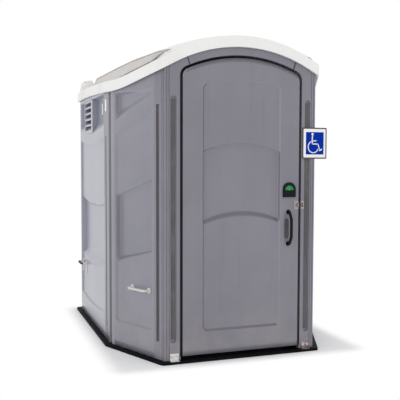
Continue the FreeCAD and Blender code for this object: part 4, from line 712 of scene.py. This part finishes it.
# %% Wall sheets
def wall_sheet(origin, towards, span, tops, bands, windows=()):
    """Grid points of a wall sheet, and the faces left out for its windows."""
    left, right = span
    stops = {left, right}
    for band in bands:
        edges = np.array(near_edge(band[0], band[5]))
        stops.update(s for s in (*edges, *(band[1] + band[0] - edges)) if left < s < right)
    for window in windows:
        stops.update(window[:2])
    across = spread(sorted(stops), 0.03)
    laid = [laid_out(band, across) for band in bands]
    curves = [np.full_like(across, SHEET_FOOT)]
    for limits in laid:
        curves.extend(edge_rows(limits, WALL_SHARES))
    for window in windows:
        curves.extend(np.full_like(across, z) for z in window[2:])
    top = heights(tops, across)
    curves = sorted((np.clip(c, SHEET_FOOT, top - 1e-3) for c in curves), key=lambda c: float(c.mean()))
    up = row_stack(curves + [top])
    flat = np.broadcast_to(across, up.shape)
    inward = np.maximum.reduce([np.zeros_like(up)] + [pressed(flat, up, limits) for limits in laid])
    middle_up = (up[1:, 1:] + up[:-1, :-1]) / 2
    middle_across = (flat[1:, 1:] + flat[:-1, :-1]) / 2
    holes = [(middle_across > w[0]) & (middle_across < w[1]) & (middle_up > w[2]) & (middle_up < w[3])
             for w in windows]
    return stand_up(origin, towards, flat, inward, up), holes


def wall_bands(left, right, foot, shoulder, top, top_depth, top_slopes, waist_low, waist_top, waist_slopes):
    """The shallow field, the deep shoulder band above its rib, and the waist band across it."""
    return [
        (left, right, foot, lambda u: shoulder(u) - RIB_TALL, *FIELD_PRESS),
        (left, right, shoulder, top, top_depth, *top_slopes),
        (left, right, waist_low, waist_top, WAIST_DEEP, *waist_slopes),
    ]


FIELD_PRESS, WAIST_DEEP = (0.012, 0.008, 0.014, 0.008), 0.040
SIDE_LENGTH = float(REAR[1] - BEND[1])
SLANT_LENGTH = float(np.linalg.norm(CORNER - BEND))
SLANT_SPAN, SIDE_SPAN = (0.058, SLANT_LENGTH - 0.110), (0.030, SIDE_LENGTH - 0.182)
SLANT_BAND, SIDE_BAND = (0.076, 0.506), (0.052, 1.135)
LIGHT_LOW, LIGHT_HIGH, LIGHT_HALF = 1.805, 1.897, 0.020
LIGHT_SLOTS = ((0.829, 0.0512), (1.212, -0.0008))
VENT_WINDOW = (0.300, 0.565, 1.780, 1.918)


def climb(start, end):
    """Straight edge across the slanted wall's bands, from the bend to the door."""
    return straight(*SLANT_BAND, start, end)


corner_points, no_holes = wall_sheet(
    BEND, CORNER, SLANT_SPAN, lambda u: 2.005 + (u - 0.058) * 0.070 / (SLANT_LENGTH - 0.168),
    wall_bands(*SLANT_BAND, 0.208, climb(1.714, 1.888), 1.930, climb(0.036, 0.010),
               (0.009, climb(1.790, 1.912), 0.020),
               climb(0.644, 0.768), climb(1.180, 1.314), (0.010, climb(0.697, 0.790), 0.028)))
light_along = LIGHT_SLOTS[0][0]
light_window = (light_along - LIGHT_HALF, light_along + LIGHT_HALF, LIGHT_LOW, LIGHT_HIGH)
side_points, side_holes = wall_sheet(
    REAR, BEND, SIDE_SPAN, 2.003,
    wall_bands(*SIDE_BAND, curve(*FIELD_FOOT_EDGE), curve(*SHOULDER_EDGE), 1.946, 0.050,
               (0.010, 0.100, 0.012), curve(*WAIST_LOW_EDGE), curve(*WAIST_TOP_EDGE),
               (0.010, straight(*SIDE_BAND, 0.615, 0.622), 0.028)),
    [VENT_WINDOW, light_window])
for wall, points, holes, material in (("corner", corner_points, no_holes, corner_plastic),
                                      ("side", side_points, side_holes, side_plastic)):
    turned = [hole[:, ::-1] for hole in holes]
    for side_name, grid, gaps in (("left", points, holes), ("right", flipped(points), turned)):
        label = f"{wall}_panel_{side_name}"
        put_in(walled(surface(f"{label}_sheet", grid, gaps)), material, label)
    print(wall, "walls", points.shape[0], "x", points.shape[1], "points")

# %% [markdown]
# The rear wall has the same bands, centred on its middle, and an arched top that follows the roof.

# %% Rear wall
REAR_MIDDLE, REAR_SPAN, REAR_BAND = 0.843, (0.060, 1.626), (0.090, 1.596)
REAR_ARCH, REAR_FLAT, REAR_RISE, REAR_CROWN = 0.660, 2.030, 2.045, 2.267


def rear_top(u):
    """Top of the rear wall: an arch under the roof between two short shoulders."""
    radius = (REAR_ARCH ** 2 + (REAR_CROWN - REAR_RISE) ** 2) / (2 * (REAR_CROWN - REAR_RISE))
    out = np.abs(u - REAR_MIDDLE)
    arch = REAR_CROWN - radius + np.sqrt(np.maximum(radius ** 2 - out ** 2, 0))
    slope = REAR_RISE + (REAR_FLAT - REAR_RISE) * (out - REAR_ARCH) / (REAR_MIDDLE - 0.060 - REAR_ARCH)
    return np.where(out < REAR_ARCH, arch, slope)


rear_bands = [
    (*REAR_BAND, 0.208, curve(1.560, REAR_MIDDLE), *FIELD_PRESS),
    (*REAR_BAND, curve(1.655, REAR_MIDDLE), 1.936, 0.040, 0.010, 0.090, 0.014),
    (*REAR_BAND, curve(0.487, REAR_MIDDLE), curve(1.064, REAR_MIDDLE), WAIST_DEEP, 0.010, 0.050, 0.028),
]
rear_points, rear_holes = wall_sheet(REAR * (-1, 1), REAR, REAR_SPAN, rear_top, rear_bands)
put_in(walled(surface("rear_panel_sheet", rear_points, rear_holes)), side_plastic, "rear_panel")
print("rear wall", rear_points.shape)

# %% [markdown]
# The door's outer skin is pressed too, with an arched field and one deep band between two arcs. Its
# own edge follows the opening: straight sides, a rounded shoulder and a long arch.

# %% Door skin
OPENING_HALF, DOOR_GAP, DOOR_FOOT = 0.4645, 0.0145, 0.044
ARCH_RADIUS, ARCH_CENTRE, SHOULDER_RADIUS = 1.020, 1.147, 0.070
FRONT_FACE = -0.975
DOOR_HALF = OPENING_HALF - DOOR_GAP
SHOULDER_REACH = ARCH_RADIUS - SHOULDER_RADIUS
SHOULDER_SIDE = OPENING_HALF - SHOULDER_RADIUS
SHOULDER_START = ARCH_CENTRE + math.sqrt(SHOULDER_REACH ** 2 - SHOULDER_SIDE ** 2)


def door_top(x, gap=DOOR_GAP):
    """Height of the door's edge over a place across it: the arch, or the rounded shoulder beside it."""
    out = np.abs(x)
    radius, rounding = ARCH_RADIUS - gap, SHOULDER_RADIUS - gap
    meet = SHOULDER_SIDE * radius / SHOULDER_REACH
    arch = ARCH_CENTRE + np.sqrt(radius ** 2 - out ** 2)
    turn = SHOULDER_START + np.sqrt(np.maximum(rounding ** 2 - (out - SHOULDER_SIDE) ** 2, 0))
    return np.where(out < meet, arch, turn)


def arc_over(half, ends, bow):
    """Height of an arc over the door: its ends, and how far its middle stands above them."""
    radius = (half ** 2 + bow ** 2) / (2 * bow)
    return lambda x: ends + bow - radius + np.sqrt(np.maximum(radius ** 2 - x ** 2, 0))


FIELD_HALF, FIELD_CORNER, DOOR_SLOPE, DOOR_SOFTNESS = 0.300, 0.028, 0.008, 0.002
DOOR_SHARES = (-0.3, -0.1, 0.1, 0.35, 0.65, 0.9, 1.1, 1.5)
CORNER_ROWS = (0.017, 0.021, 0.025)
door_bands = [
    (-FIELD_HALF, FIELD_HALF, 0.207, arc_over(FIELD_HALF, 1.956, 0.044), 0.010, DOOR_SLOPE, 0.015, 0.008),
    (-FIELD_HALF, FIELD_HALF, arc_over(FIELD_HALF, 0.960, 0.049), arc_over(FIELD_HALF, 1.497, 0.062),
     0.027, DOOR_SLOPE, arc_over(FIELD_HALF - DOOR_SLOPE, 0.998, 0.063), 0.014),
]


def rounded_field(across, up, band):
    """Depth of the door's field with its corners rounded.

    Inside a corner's square the distance to the edge is the corner's radius less the distance to
    its centre, elsewhere it is the distance to the nearest side, foot or top.
    """
    left, right, low, high, depth, side, low_slope, high_slope = band
    beside = np.minimum(across - left, right - across)
    above = np.minimum((up - low) * side / low_slope, high - up)
    turned = FIELD_CORNER - np.hypot(*[np.maximum(FIELD_CORNER - reach, 0) for reach in (beside, above)])
    inside = np.where((beside < FIELD_CORNER) & (above < FIELD_CORNER), turned, np.minimum(beside, above))
    return depth * bend_in(inside, side, DOOR_SOFTNESS)


def door_points():
    """Grid of the outer skin, front face only, with its columns closer together at the shoulders."""
    edge = DOOR_HALF * np.sin(np.linspace(math.radians(62), math.pi / 2, 14))
    inner = near_edge(-FIELD_HALF, DOOR_SLOPE) + [-FIELD_HALF + t for t in (0.014, 0.018, 0.023, 0.028)]
    x = spread(sorted(set(np.concatenate([-edge, edge, inner, -np.array(inner), [0.0]]).round(6))), 0.03)
    field, waist = [laid_out(band, x) for band in door_bands]
    curves = [field[2] + t for t in CORNER_ROWS] + [field[3] - t for t in CORNER_ROWS]
    curves += edge_rows(field, DOOR_SHARES) + edge_rows(waist, DOOR_SHARES)
    top = door_top(x)
    curves = sorted((np.minimum(c, top - 0.004) for c in curves), key=lambda c: float(c.mean()))
    z = row_stack([np.full_like(x, DOOR_FOOT)] + curves + [top])
    flat = np.broadcast_to(x, z.shape)
    depth = np.maximum(rounded_field(flat, z, field), pressed(flat, z, waist, DOOR_SOFTNESS))
    return np.stack([flat, FRONT_FACE + depth, z], axis=-1)


skin = walled(surface("door_outer_skin_sheet", door_points()), 0.0045)
put_in(skin, door_plastic, "door_outer_skin")
print("door skin", len(skin.data.vertices), "points")

# %% [markdown]
# A flat sheet alone would look thin at the door's edge, so a rim goes round it: the outline of the
# door is carried back by its thickness, with a small rounding at the front where skin and rim meet.
# A dark rubber lip follows the edge of the opening on the posts. Its dark is partly painted shadow that
# widens the gap into one dark line. Dark strips in the two joints between header and posts are painted shadow
# of those joints.

# %% Door rim, lip and painted joint shadow
SEAM_LINE = np.array([(0.398, 2.086), (0.416, 2.140), (0.428, 2.178)])
ARCH_POINTS, SIDE_POINTS, FOOT_POINTS = 120, 12, 18


def door_outline(gap, foot):
    """Loop round the door: up its right side, over the arch, down its left side and along its foot."""
    half = OPENING_HALF - gap
    x = half * np.cos(np.linspace(0, math.pi, ARCH_POINTS))
    top = np.stack([x, door_top(np.clip(x, -half + 1e-6, half - 1e-6), gap)], axis=-1)
    top[0, 1] = top[-1, 1] = SHOULDER_START
    side = np.linspace(foot, SHOULDER_START, SIDE_POINTS)[:-1]
    right = np.stack([np.full_like(side, half), side], axis=-1)
    left = np.stack([np.full_like(side, -half), side[::-1]], axis=-1)
    bottom_x = np.linspace(-half, half, FOOT_POINTS + 2)[1:-1]
    bottom = np.stack([bottom_x, np.full_like(bottom_x, foot)], axis=-1)
    return np.concatenate([right, top, left, bottom])


def rim_surface():
    """Rim of the door: the outline at several depths, pulled in a little at the front corner."""
    steps = ((0.012, 0.0002), (0.004, 0.0002), (0.0015, 0.0010), (0.0, 0.004), (0.0, 0.019))
    loops = [at_depth(door_outline(DOOR_GAP + inset, DOOR_FOOT + inset), FRONT_FACE + back)
             for inset, back in steps]
    return closed(loops)[:, ::-1]


def seal_surface():
    """Flat lip round the door's opening, from its edge outwards, wider at the hinge than elsewhere; its dark
    is partly painted shadow of the gap.
    """
    steps = ((0.0002, 0.004), (0.0002, -0.0006), (0.0012, -0.0014), (0.0044, -0.0014), (0.0054, 0.0004))
    edge = door_outline(0.0, DOOR_FOOT)
    share = 0.45 + 0.55 * np.clip(-edge[:, :1] / OPENING_HALF, 0, 1) ** 12
    loops = [at_depth(edge + (door_outline(-outward, DOOR_FOOT) - edge) * share, FRONT_FACE + back)
             for outward, back in steps]
    return np.array(loops)[:, :-FOOT_POINTS]


def seam_surface(side):
    """Dark strip in the joint between header and post, painted shadow of the joint: a line in three points, 6
    mm wide.
    """
    return np.array([at_depth((SEAM_LINE + (across, 0)) * (side, 1), FRONT_FACE - 0.0004)
                     for across in (-0.003, 0.003)])


add_piece(walled(surface("opening_seal", seal_surface()), 0.0012), gap_shadow_rubber)
for label, side in (("left", -1), ("right", 1)):
    add_piece(walled(surface(f"header_seam_{label}", seam_surface(side)), 0.0008), gap_shadow_rubber)
rim = add_piece(walled(surface("door_rim", rim_surface()), 0.004), door_plastic, "door")
print("door rim", len(rim.data.vertices), "points")

# %% [markdown]
# The roof's rim is one band that follows the wall's plan, with its lower edge arched over the
# door and flat over the sides. It is a closed profile carried round the plan. The skin inside it
# and the raised centre are two more surfaces on the same curve.

# %% Roof curve
EAVES, EAVES_SWELL, EAVES_END = 1.938, 0.036, 0.877
CROWN, ROOF_RADIUS, ARCH_HALF, RIM_HIGH = 2.227, 1.080, 0.505, 0.081
OVERHANG = 0.025


def eaves_level(y):
    """Lower edge at the sides: the eaves plus a swell that grows as a sine towards the rear."""
    travel = np.clip((y + 0.385) / 1.1, 0, 1.25)
    return EAVES + EAVES_SWELL * np.sin(travel * math.pi / 2)


def rim_level(x, y):
    """Lower edge of the rim: a round arch, a straight slope, and an arc that levels out at the eaves.

    The slope leaves the arch as its tangent. The last arc touches the slope and the level eaves,
    so its radius is its reach over the tangent of half the slope's angle.
    """
    out, level = np.abs(x), eaves_level(y)
    slope = math.asin(ARCH_HALF / ROOF_RADIUS)
    start = CROWN - ROOF_RADIUS + math.sqrt(ROOF_RADIUS ** 2 - ARCH_HALF ** 2)
    meet = ARCH_HALF + (start - level) / math.tan(slope)
    reach = EAVES_END - meet
    radius = reach / math.tan(slope / 2)
    arch = CROWN - ROOF_RADIUS + np.sqrt(ROOF_RADIUS ** 2 - np.minimum(out, ARCH_HALF) ** 2)
    straight = start - (out - ARCH_HALF) * math.tan(slope)
    flank = level + radius - np.sqrt(np.maximum(radius ** 2 - np.maximum(EAVES_END - out, 0) ** 2, 0))
    return np.where(out < ARCH_HALF, arch, np.where(out < meet - reach * math.cos(slope), straight, flank))


def roof_outline(inset):
    """Plan of the roof, drawn in by an inset, with its corners rounded by short arcs."""
    over = OVERHANG - inset
    slant = math.atan2(CORNER[1] - BEND[1], CORNER[0] - BEND[0])
    front_half = -CORNER[0] + over * math.tan(-slant / 2)
    bend = -BEND[1] + over * math.tan((math.pi / 2 + slant) / 2)
    side, front, rear = -BEND[0] + over, -CORNER[1] + over, REAR[1] + over
    corners = np.array([(-front_half, -front), (front_half, -front), (side, -bend), (side, rear),
                        (-side, rear), (-side, -bend)])
    roundings = np.array([0.030, 0.030, 0.018, 0.060, 0.060, 0.018]) - inset * 0.5
    return corners, np.maximum(roundings, 0.004), (48, 24, 48, 60, 48, 24)


def rounded_loop(corners, roundings, runs, arc_points=9):
    """Closed loop through corners, each cut by an arc, with a count of points on each straight run."""
    arcs, total = [], len(corners)
    swing = np.linspace(0, 1, arc_points)[:, None]
    for i in range(total):
        here = corners[i]
        before, after = corners[i - 1] - here, corners[(i + 1) % total] - here
        before, after = before / np.linalg.norm(before), after / np.linalg.norm(after)
        half = math.acos(np.clip(before @ after, -1, 1)) / 2
        reach = roundings[i] / math.tan(half)
        centre = here + (before + after) / np.linalg.norm(before + after) * roundings[i] / math.sin(half)
        start, stop = here + before * reach - centre, here + after * reach - centre
        angle = math.pi - 2 * half
        turn = np.sin((1 - swing) * angle) * start + np.sin(swing * angle) * stop
        arcs.append(centre + turn / math.sin(angle))
    loop = []
    for i in range(total):
        start, stop = arcs[i][-1], arcs[(i + 1) % total][0]
        loop += [arcs[i], start + (stop - start) * np.linspace(0, 1, runs[i] + 2)[1:-1, None]]
    return np.concatenate(loop)


print("eaves", [round(float(eaves_level(np.array(y))), 3) for y in (-1.0, 0.0, 1.0)])

# %% [markdown]
# The rim is one profile carried round the roof's outline, and rises and falls with its edge. The
# skin inside it is a grid that hangs from the rim's inner edge.

# %% Roof rim and skin
def rim_band():
    """Closed profile of the rim, carried round the plan. Each profile point is an inset and a rise."""
    top, under = RIM_HIGH, RIM_HIGH - 0.006
    profile = [(0.024, 0.0), (0.003, 0.0), (0.0008, 0.0012), (0.0, 0.004), (0.0, top - 0.009),
               (0.0012, top - 0.0042), (0.004, top - 0.0012), (0.008, top), (0.060, top), (0.060, under),
               (0.009, under), (0.007, under - 0.002), (0.007, 0.008), (0.024, 0.006)]
    loops = []
    for inset, rise in profile + profile[:1]:
        plan = rounded_loop(*roof_outline(inset))
        loops.append(np.column_stack([plan, rim_level(plan[:, 0], plan[:, 1]) + rise]))
    return closed(loops)


def merged(piece):
    """Join the seams of a closed surface and turn its faces outwards."""
    shell = bmesh.new()
    shell.from_mesh(piece.data)
    bmesh.ops.remove_doubles(shell, verts=shell.verts, dist=SAME_PLACE)
    bmesh.ops.recalc_face_normals(shell, faces=shell.faces)
    shell.to_mesh(piece.data)
    shell.free()
    piece.data.shade_smooth()
    return piece


RAISED = np.array([
    (-0.962, 0.500, 2.197, 0.516, 2.312), (-0.925, 0.560, 2.191, 0.590, 2.314),
    (-0.862, 0.592, 2.188, 0.632, 2.316), (-0.410, 0.656, 2.187, 0.712, 2.328),
    (0.100, 0.668, 2.195, 0.722, 2.336), (0.890, 0.690, 2.194, 0.742, 2.336),
    (0.950, 0.660, 2.130, 0.700, 2.322)])


def raised_at(y):
    """Half width and height of the shoulder, half width of the foot and height of the crown."""
    return [np.interp(y, RAISED[:, 0], RAISED[:, column]) for column in range(1, 5)]


def roof_skin():
    """Skin between the rim and the raised centre: straight lines from one loop to the other."""
    outer = rounded_loop(*roof_outline(0.055))
    y = np.clip(outer[:, 1], -0.955, 0.945)
    reach = raised_at(y)[2] - 0.01
    inner = np.column_stack([np.clip(outer[:, 0], -reach, reach), y])
    rows = []
    for share in np.linspace(0, 1, 6):
        plan = outer + (inner - outer) * share
        rows.append(np.column_stack([plan, rim_level(plan[:, 0], plan[:, 1]) + RIM_HIGH - 0.0005]))
    return closed(rows)


roof_rim = put_in(merged(surface("roof_rim", rim_band())), roof_white, "roof_shell")
roof_skin_piece = walled(merged(surface("roof_skin", roof_skin())), 0.005)
print("rim", len(roof_rim.data.vertices), "skin", len(roof_skin_piece.data.vertices))

# %% [markdown]
# The raised centre is a long shallow vault with steep sides and a rounded shoulder. Its side
# lights are separate, thinner sheets set a little proud of the sides, with the white shell showing
# as a narrow edge above and below them.

# %% Raised centre and side lights
LIGHT_REAR, FOOT_SUNK = 0.86, 0.03


def across_vault(y):
    """Cross-sections of the raised centre: foot, side, rounded shoulder, arch and back down."""
    half, shoulder, foot, crown = raised_at(y)
    base = rim_level(foot, y) + RIM_HIGH - FOOT_SUNK
    side = np.linspace(0, 1, 6)[:, None]
    climb_x = foot + (half - foot) * side
    climb_z = base + (shoulder - base) * side
    share = np.linspace(1, -1, 41)[1:-1, None]
    sag = crown - shoulder
    radius = (half ** 2 + sag ** 2) / (2 * sag)
    top_x = half * share
    top_z = crown - radius + np.sqrt(radius ** 2 - top_x ** 2)
    x = np.concatenate([climb_x, top_x, -climb_x[::-1]])
    z = np.concatenate([climb_z, top_z, climb_z[::-1]])
    return np.stack([x, np.broadcast_to(y, x.shape), z], axis=-1)


def vault_points():
    """Grid of the raised centre from front to rear, closed at both ends by a steep wall down to the skin."""
    y = spread(list(RAISED[:, 0]), 0.04)
    body = across_vault(y)
    ends = []
    for column, beyond in ((0, -0.004), (-1, 0.006)):
        end = body[:, column].copy()
        end[:, 1] += beyond
        end[:, 2] = np.minimum(end[:, 2], rim_level(end[:, 0], end[:, 1]) + RIM_HIGH - 0.003)
        ends.append(end[:, None])
    return np.concatenate([ends[0], body, ends[1]], axis=1)


def on_flank(side, proud, share, y):
    """Points on the raised centre's flank: a share of the way up it, and a little proud of it."""
    half, shoulder, foot, crown = raised_at(y)
    base = rim_level(foot, y) + RIM_HIGH
    x = foot + (half - foot) * share + proud
    points = np.stack([-x, y, base + (shoulder - base) * share], axis=-1)
    return points if side < 0 else flipped(points)


def light_front(share):
    """Where a light ends in front: its upper edge reaches further forward than its lower one."""
    return -0.850 - 0.100 * share ** 0.8


def light_grid(low, high, first, last, rows, columns):
    """Shares up the flank, and depths from the slanted front end to the straight rear end."""
    share = np.linspace(low, high, rows)[:, None] * np.ones(columns)
    front = light_front(share)
    return share, front + (LIGHT_REAR - front) * np.linspace(first, last, columns)


vault = walled(merged(surface("roof_vault", vault_points())), 0.005)
soften(vault, 0.006, 3, math.radians(24))
for piece in (roof_skin_piece, vault):
    add_piece(piece, roof_white)
# Brownish seal strips along the top, front and rear edges of each light stand in, partly, for the shadow line
# along those edges, as painted shadow.
SEAL_RUNS = {"top": (0.87, 0.915, 0, 1, 4, 50), "front": (0.04, 0.91, -0.004, 0.004, 14, 4),
             "rear": (0.04, 0.91, 0.997, 1.003, 8, 4)}
for label, side in (("roof_light_left", -1), ("roof_light_right", 1)):
    sheet = surface(f"{label}_sheet", on_flank(side, 0.003, *light_grid(0.04, 0.88, 0, 1, 7, 50)))
    put_in(walled(sheet, 0.004), roof_light, label)
    for part, run in SEAL_RUNS.items():
        seal = surface(f"{label}_seal_{part}", on_flank(side, 0.0045, *light_grid(*run)))
        add_piece(walled(seal, 0.0045), light_edge_shadow_brown)
print("vault", len(vault.data.vertices), "points")

# %% [markdown]
# The sign is a flat plate with a dark edge, a white margin and a blue field. The wheelchair figure
# on it is the usual generic one, drawn here from a disc, a few thick strokes and part of a ring.

# %% Sign
SIGN_BOX, FIELD_BOX = np.array([0.475, 0.678, 1.440, 1.671]), (0.504, 0.652, 1.472, 1.638)
MARGIN_BOX = SIGN_BOX + 0.010 * np.array([1, -1, 1, -1])
SIGN_FACE = FRONT_FACE - 0.004
LAYER = 0.0010


def plate_points(left, right, low, high, rounding, face, thick):
    """A flat plate with rounded corners: its outline carried back, closed to its middle at the front."""
    corners = np.array([(left, low), (right, low), (right, high), (left, high)])
    loop = rounded_loop(corners, [rounding] * 4, (3, 3, 3, 3), 7)
    middle = loop.mean(axis=0)
    steps = ((0.0, 0.0), (0.985, 0.0), (0.997, 0.0002), (1.0, 0.0006), (1.0, thick), (0.0, thick))
    return closed([at_depth(middle + (loop - middle) * share, face + back) for share, back in steps])


def stroke_points(line, wide, face, thick):
    """A thick stroke with pointed ends along a line, with a flat face."""
    heading = np.gradient(line, axis=0)
    heading /= np.linalg.norm(heading, axis=1)[:, None]
    beside = np.column_stack([-heading[:, 1], heading[:, 0]]) * wide / 2
    first, last = line[:1] - heading[:1] * wide / 2, line[-1:] + heading[-1:] * wide / 2
    left, right = [np.concatenate([first, line + sign * beside, last]) for sign in (1, -1)]
    back = face + thick
    rows = ((left, back), (left, face), (right, face), (right, back), (left, back))
    return np.array([at_depth(edge, y) for edge, y in rows])


def ring_points(count):
    """Points of a circle of radius 1."""
    turn = np.linspace(0, 2 * math.pi, count + 1)[:-1]
    return np.column_stack([np.cos(turn), np.sin(turn)])


backing = surface("sign_backing", plate_points(*SIGN_BOX, 0.010, SIGN_FACE, 0.004))
put_in(merged(backing), sign_edge, "sign_plate")
margin = surface("sign_margin", plate_points(*MARGIN_BOX, 0.006, SIGN_FACE - 0.0008, LAYER))
field = surface("sign_field", plate_points(*FIELD_BOX, 0.004, SIGN_FACE - 0.0014, LAYER))
add_piece(merged(margin), sign_white)
add_piece(merged(field), sign_blue)

SYMBOL_CENTRE, SYMBOL_UNIT, SYMBOL_FACE = np.array([0.576, 1.551]), 0.0122, SIGN_FACE - 0.0020
arc = np.radians(np.linspace(113, 337, 32))
FIGURE = [
    ("symbol_body", [(-1.5, 5.0), (-1.65, 2.6), (-1.5, 0.1)], 0.75),
    ("symbol_lap", [(-1.4, -0.1), (0.4, -0.1), (2.3, -0.1)], 0.65),
    ("symbol_leg", [(2.3, -0.1), (2.9, -1.9), (3.5, -3.6)], 0.65),
    ("symbol_foot", [(3.3, -4.0), (4.1, -3.7), (4.9, -3.3)], 0.85),
    ("symbol_arm", [(-1.2, 1.8), (0.0, 1.8), (1.1, 1.8)], 0.65),
    ("symbol_wheel", np.column_stack([-0.9 + 3.5 * np.cos(arc), -1.9 + 3.5 * np.sin(arc)]), 0.62),
]
for label, line, wide in FIGURE:
    line = SYMBOL_CENTRE + np.array(line) * SYMBOL_UNIT
    stroke = surface(label, stroke_points(line, wide * SYMBOL_UNIT, SYMBOL_FACE, LAYER))
    add_piece(merged(stroke), sign_white)
head = SYMBOL_CENTRE + np.array([-1.5, 5.85]) * SYMBOL_UNIT
HEAD_RINGS = ((0.0, 0.0), (0.68, 0.0), (0.76, 0.0002), (0.76, LAYER), (0.0, LAYER))
head_rows = [at_depth(head + ring_points(24) * radius * SYMBOL_UNIT, SYMBOL_FACE + back)
             for radius, back in HEAD_RINGS]
add_piece(merged(surface("symbol_head", closed(head_rows))), sign_white)
print("sign pieces", 3 + len(FIGURE))

# %% [markdown]
# A slot beside the vent hood and a recess in the post hold strips of milky plastic, with a painted glow for
# the daylight behind them. Each strip is the sign's flat plate again, drawn in the side wall's own frame.

# %% Light strips in the side walls
STRIP_GAP = 0.0005
for number, (along, deep) in enumerate(LIGHT_SLOTS, 1):
    half = LIGHT_HALF - STRIP_GAP
    flat = plate_points(along - half, along + half, LIGHT_LOW + STRIP_GAP, LIGHT_HIGH - STRIP_GAP,
                        0.004, deep, 0.0028)
    left = stand_up(REAR, BEND, flat[..., 0], flat[..., 1], flat[..., 2])
    for side_name, points in (("left", left), ("right", flipped(left))):
        strip = merged(surface(f"light_strip_{side_name}_{number}", points))
        add_piece(strip, strip_white)
print("light strips", 2 * len(LIGHT_SLOTS))

# %% [markdown]
# The floor is a wide pale disc. It keeps the cabin's soft shadow close to the base, and within a
# fifth of a metre of it turns into the white of the backdrop, so no edge of it shows.

# %% Floor
BASE_HALF, FADE = (0.86, 1.00), 0.17
FLOOR_RADIUS, FLOOR_LEVEL, FLOOR_POINTS = 14.0, -0.0005, 72


def pale_floor():
    """Pale matt floor that fades to plain white with distance, for rays that are seen."""
    paint = Paint("studio_floor")
    tone = paint.mix(paint.noise(3, 3), (0.95, 0.95, 0.95), (0.98, 0.98, 0.98))
    material = paint.set(Base_Color=tone, Roughness=0.9, Specular_IOR_Level=0.1)
    beside, beyond = [(place.maths("ABSOLUTE") - half).maths("MAXIMUM", 0.0)
                      for place, half in zip((paint.x, paint.y), BASE_HALF)]
    away = ((beside * beside + beyond * beyond) ** 0.5).ramp(0.0, FADE)
    glow = paint.node("ShaderNodeEmission", {}, {"Color": (1, 1, 1), "Strength": 1.0})
    seen = away * Socket(paint, seen_rays(paint.tree, "Is Glossy Ray"))
    mixed = paint.node("ShaderNodeMixShader", {}, [seen, Socket(paint, paint.shader.outputs[0]), glow])
    output = next(n for n in paint.tree.nodes if n.type == "OUTPUT_MATERIAL")
    paint.tree.links.new(mixed.socket, output.inputs["Surface"])
    return material


floor_rows = [np.column_stack([ring_points(FLOOR_POINTS) * r, np.full(FLOOR_POINTS, FLOOR_LEVEL)])
              for r in (0.0, 2.0, FLOOR_RADIUS)]
floor = merged(surface("studio_floor", closed(floor_rows)))
floor.data.materials.append(pale_floor())
bpy.context.scene.collection.objects.link(floor)
print("floor radius", FLOOR_RADIUS)
